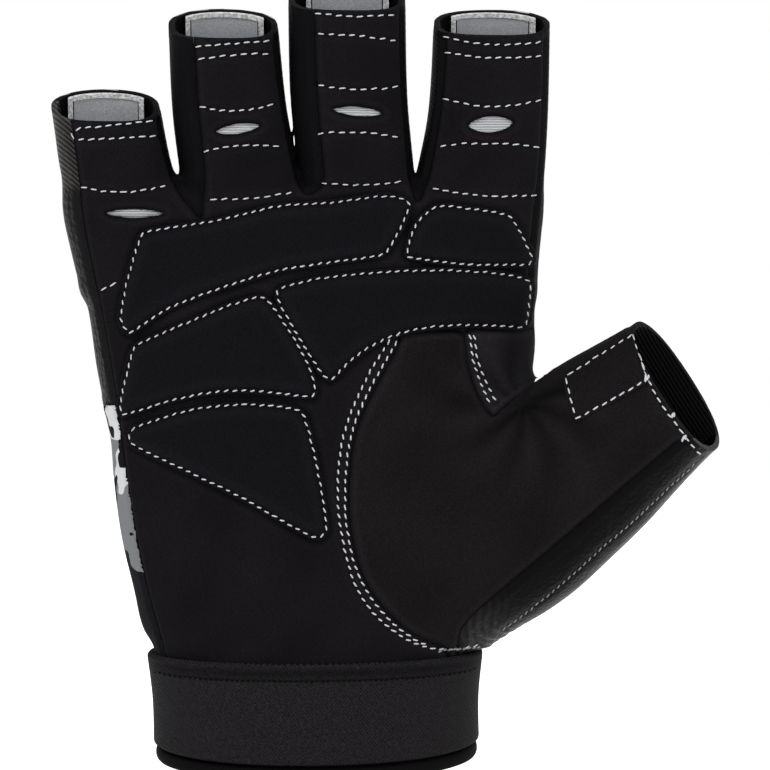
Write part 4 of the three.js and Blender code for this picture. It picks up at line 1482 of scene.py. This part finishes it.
# Stitches
def tree_of(objects):
    points, faces, start = [], [], 0
    for obj in objects:
        p = np.empty(len(obj.data.vertices) * 3, dtype=np.float32)
        obj.data.vertices.foreach_get("co", p)
        points.append(unturned(p))
        for polygon in obj.data.polygons:
            faces.append([start + i for i in polygon.vertices])
        start += len(obj.data.vertices)
    return BVHTree.FromPolygons(np.concatenate(points).tolist(), faces)


behind_palm = "back_panel", "thumb_back"
surface = tree_of([obj for name, obj in shown.items() if name not in behind_palm])


def on_surface(x, z):
    hit = surface.ray_cast(Vector((x, -100, z)), Vector((0, 1, 0)))
    return hit[0]


def dash(centre, way, length, thick, slant):
    """One stitch: a short thread whose ends go down into the cloth."""
    c, s = math.cos(slant), math.sin(slant)
    way = np.array([way[0] * c - way[1] * s, way[0] * s + way[1] * c])
    spine = []
    for t in (-0.5, -0.38, -0.15, 0.15, 0.38, 0.5):
        x, z = centre + way * t * length
        hit = on_surface(x, z)
        if hit is None:
            return None
        lift = 0.13 - 0.4 * (2 * abs(t)) ** 4
        spine.append(np.array([hit.x, hit.y - lift, hit.z]))
    spine = np.array(spine)
    radii = thick / 2 * np.array([0.55, 0.9, 1, 1, 0.9, 0.55])
    points, faces, sides = [], [], 6
    for i, (p, r) in enumerate(zip(spine, radii)):
        ahead = spine[min(i + 1, len(spine) - 1)] - spine[max(i - 1, 0)]
        ahead /= max(np.linalg.norm(ahead), 1e-9)
        side = np.cross(ahead, [0, 1, 0])
        side /= max(np.linalg.norm(side), 1e-9)
        up = np.cross(side, ahead)
        for k in range(sides):
            angle = 2 * math.pi * k / sides
            points.append(p + r * (side * math.cos(angle) + up * math.sin(angle)))
    for i in range(len(spine) - 1):
        for k in range(sides):
            a, b = i * sides + k, i * sides + (k + 1) % sides
            faces += [(a, a + sides, b + sides), (a, b + sides, b)]
    last = (len(spine) - 1) * sides
    for k in range(1, sides - 1):
        faces.append((0, k, k + 1))
        faces.append((last, last + k + 1, last + k))
    return points, faces


def sew(name, paths, material="thread", thick=0.36, slant=0.28):
    """Rows of stitches, each a little uneven in its length, slant and place."""
    uneven = np.random.RandomState(len(paths) + 7)
    points, faces = [], []
    for path, pitch, length, closed in paths:
        path = np.asarray(path)
        if closed:
            path = np.concatenate([path, path[:1]])
        lengths = np.concatenate([[0], np.cumsum(np.linalg.norm(np.diff(path, axis=0), axis=1))])
        count = max(1, int(round(lengths[-1] / pitch)))
        for i in range(count):
            at = (i + 0.5) * lengths[-1] / count
            centre = np.array([np.interp(at, lengths, path[:, k]) for k in (0, 1)])
            after = np.array([np.interp(at + 0.3, lengths, path[:, k]) for k in (0, 1)])
            before = np.array([np.interp(at - 0.3, lengths, path[:, k]) for k in (0, 1)])
            way = (after - before) / max(np.linalg.norm(after - before), 1e-9)
            longer, turned_by, aside = uneven.normal(0, (0.08, 0.07, 0.05))
            centre = centre + aside * np.array([-way[1], way[0]])
            made = dash(centre, way, length * (1 + longer), thick, slant + turned_by)
            if made:
                start = len(points)
                points += made[0]
                faces += [tuple(start + j for j in f) for f in made[1]]
    place(name, points, faces, material, "flex_cloth", (), 1.2)


pad_rows = [flow(places(path), corner=1.6, spacing=0.4) for path in PADS.values()]
sew("pad_stitches", [(row, 1.9, 1.1, True) for row in pad_rows])
sew("finger_stitches", [(row, 2.2, 1.4, False) for row in finger_rows], thick=0.32, slant=0.12)
sew("palm_stitches", [(row, 1.9, 1.15, False) for row in palm_rows + web_rows])
sew("thumb_stitches", [(row, 2.1, 1.35, False) for row in thumb_rows], slant=0.1)
sew("strip_stitches", [(strip_rows[0], 1.5, 1.0, False)], "grey_thread", 0.34)
knots = [[(wide(x) - 0.5, high(z) - 0.3), (wide(x) + 0.5, high(z) + 0.3)] for x, z in THUMB_KNOTS]
sew("thumb_knots", [(knot, 0.45, 0.9, False) for knot in knots], thick=0.5, slant=0.9)
strap_row_up = STRAP_TOP - 3.4
x, y = wrist_ring(strap_row_up, STRAP_OUT, 400)
strap_row = np.column_stack([x, strap_row_up + STRAP_TOP_SLOPE * y])[y < -6]
sew("strap_stitches", [(strap_row, 1.15, 0.5, False)], "dark_thread", 0.34, 0)
sew("ball_stitches", [(open_row(BALL_STITCHES), 1.1, 0.8, False)], "grey_thread", 0.5)


# Stage
FLOOR = -0.0046
SENSOR = 36
PIXELS = 770
PIXEL_SIZE = 0.22
CAMERA_AWAY = 1200
CAMERA_AT = (0.01496, -CAMERA_AWAY * MM, 0.0814)
LIGHT_AIM = (0.015, 0, 0.085)

pale_floor = Finish("floor", 0.9, 0.1)
pale_floor.shader.inputs["Emission Color"].default_value = (1, 1, 1, 1)
pale_floor.shader.inputs["Emission Strength"].default_value = 0.6
floor_mesh = bpy.data.meshes.new("floor")
corners = [(x, y, FLOOR) for x, y in ((-3, -2), (3, -2), (3, 4), (-3, 4))]
floor_mesh.from_pydata(corners, [], [(0, 1, 2, 3)])
floor_mesh.materials.append(pale_floor.base((0.9, 0.9, 0.9, 1)))
floor = bpy.data.objects.new("floor", floor_mesh)
scene.collection.objects.link(floor)

world = bpy.data.worlds.new("studio")
world.use_nodes = True
world.node_tree.nodes["Background"].inputs["Color"].default_value = (1, 1, 1, 1)
world.node_tree.nodes["Background"].inputs["Strength"].default_value = 1.0
scene.world = world


def soft_light(name, at, size, power):
    light = bpy.data.lights.new(name, "AREA")
    light.shape = "DISK"
    light.size = size
    light.energy = power
    obj = bpy.data.objects.new(name, light)
    obj.location = at
    obj.rotation_euler = (Vector(LIGHT_AIM) - Vector(at)).to_track_quat("-Z", "Y").to_euler()
    scene.collection.objects.link(obj)


soft_light("key", (-0.5, -0.9, 0.85), 0.6, 8)
soft_light("fill", (0.8, -0.8, 0.4), 0.8, 3)

camera_data = bpy.data.cameras.new("camera")
camera_data.sensor_width = SENSOR
camera_data.lens = SENSOR * CAMERA_AWAY / (PIXELS * PIXEL_SIZE)
camera_data.clip_start = 0.05
camera = bpy.data.objects.new("camera", camera_data)
camera.location = CAMERA_AT
camera.rotation_euler = (math.pi / 2, 0, 0)
scene.collection.objects.link(camera)
scene.camera = camera

scene.view_settings.view_transform = "Standard"
scene.view_settings.look = "None"
scene.view_settings.exposure = 0
scene.view_settings.gamma = 1

for obj in list(shop.objects):
    bpy.data.objects.remove(obj, do_unlink=True)
bpy.data.collections.remove(shop)
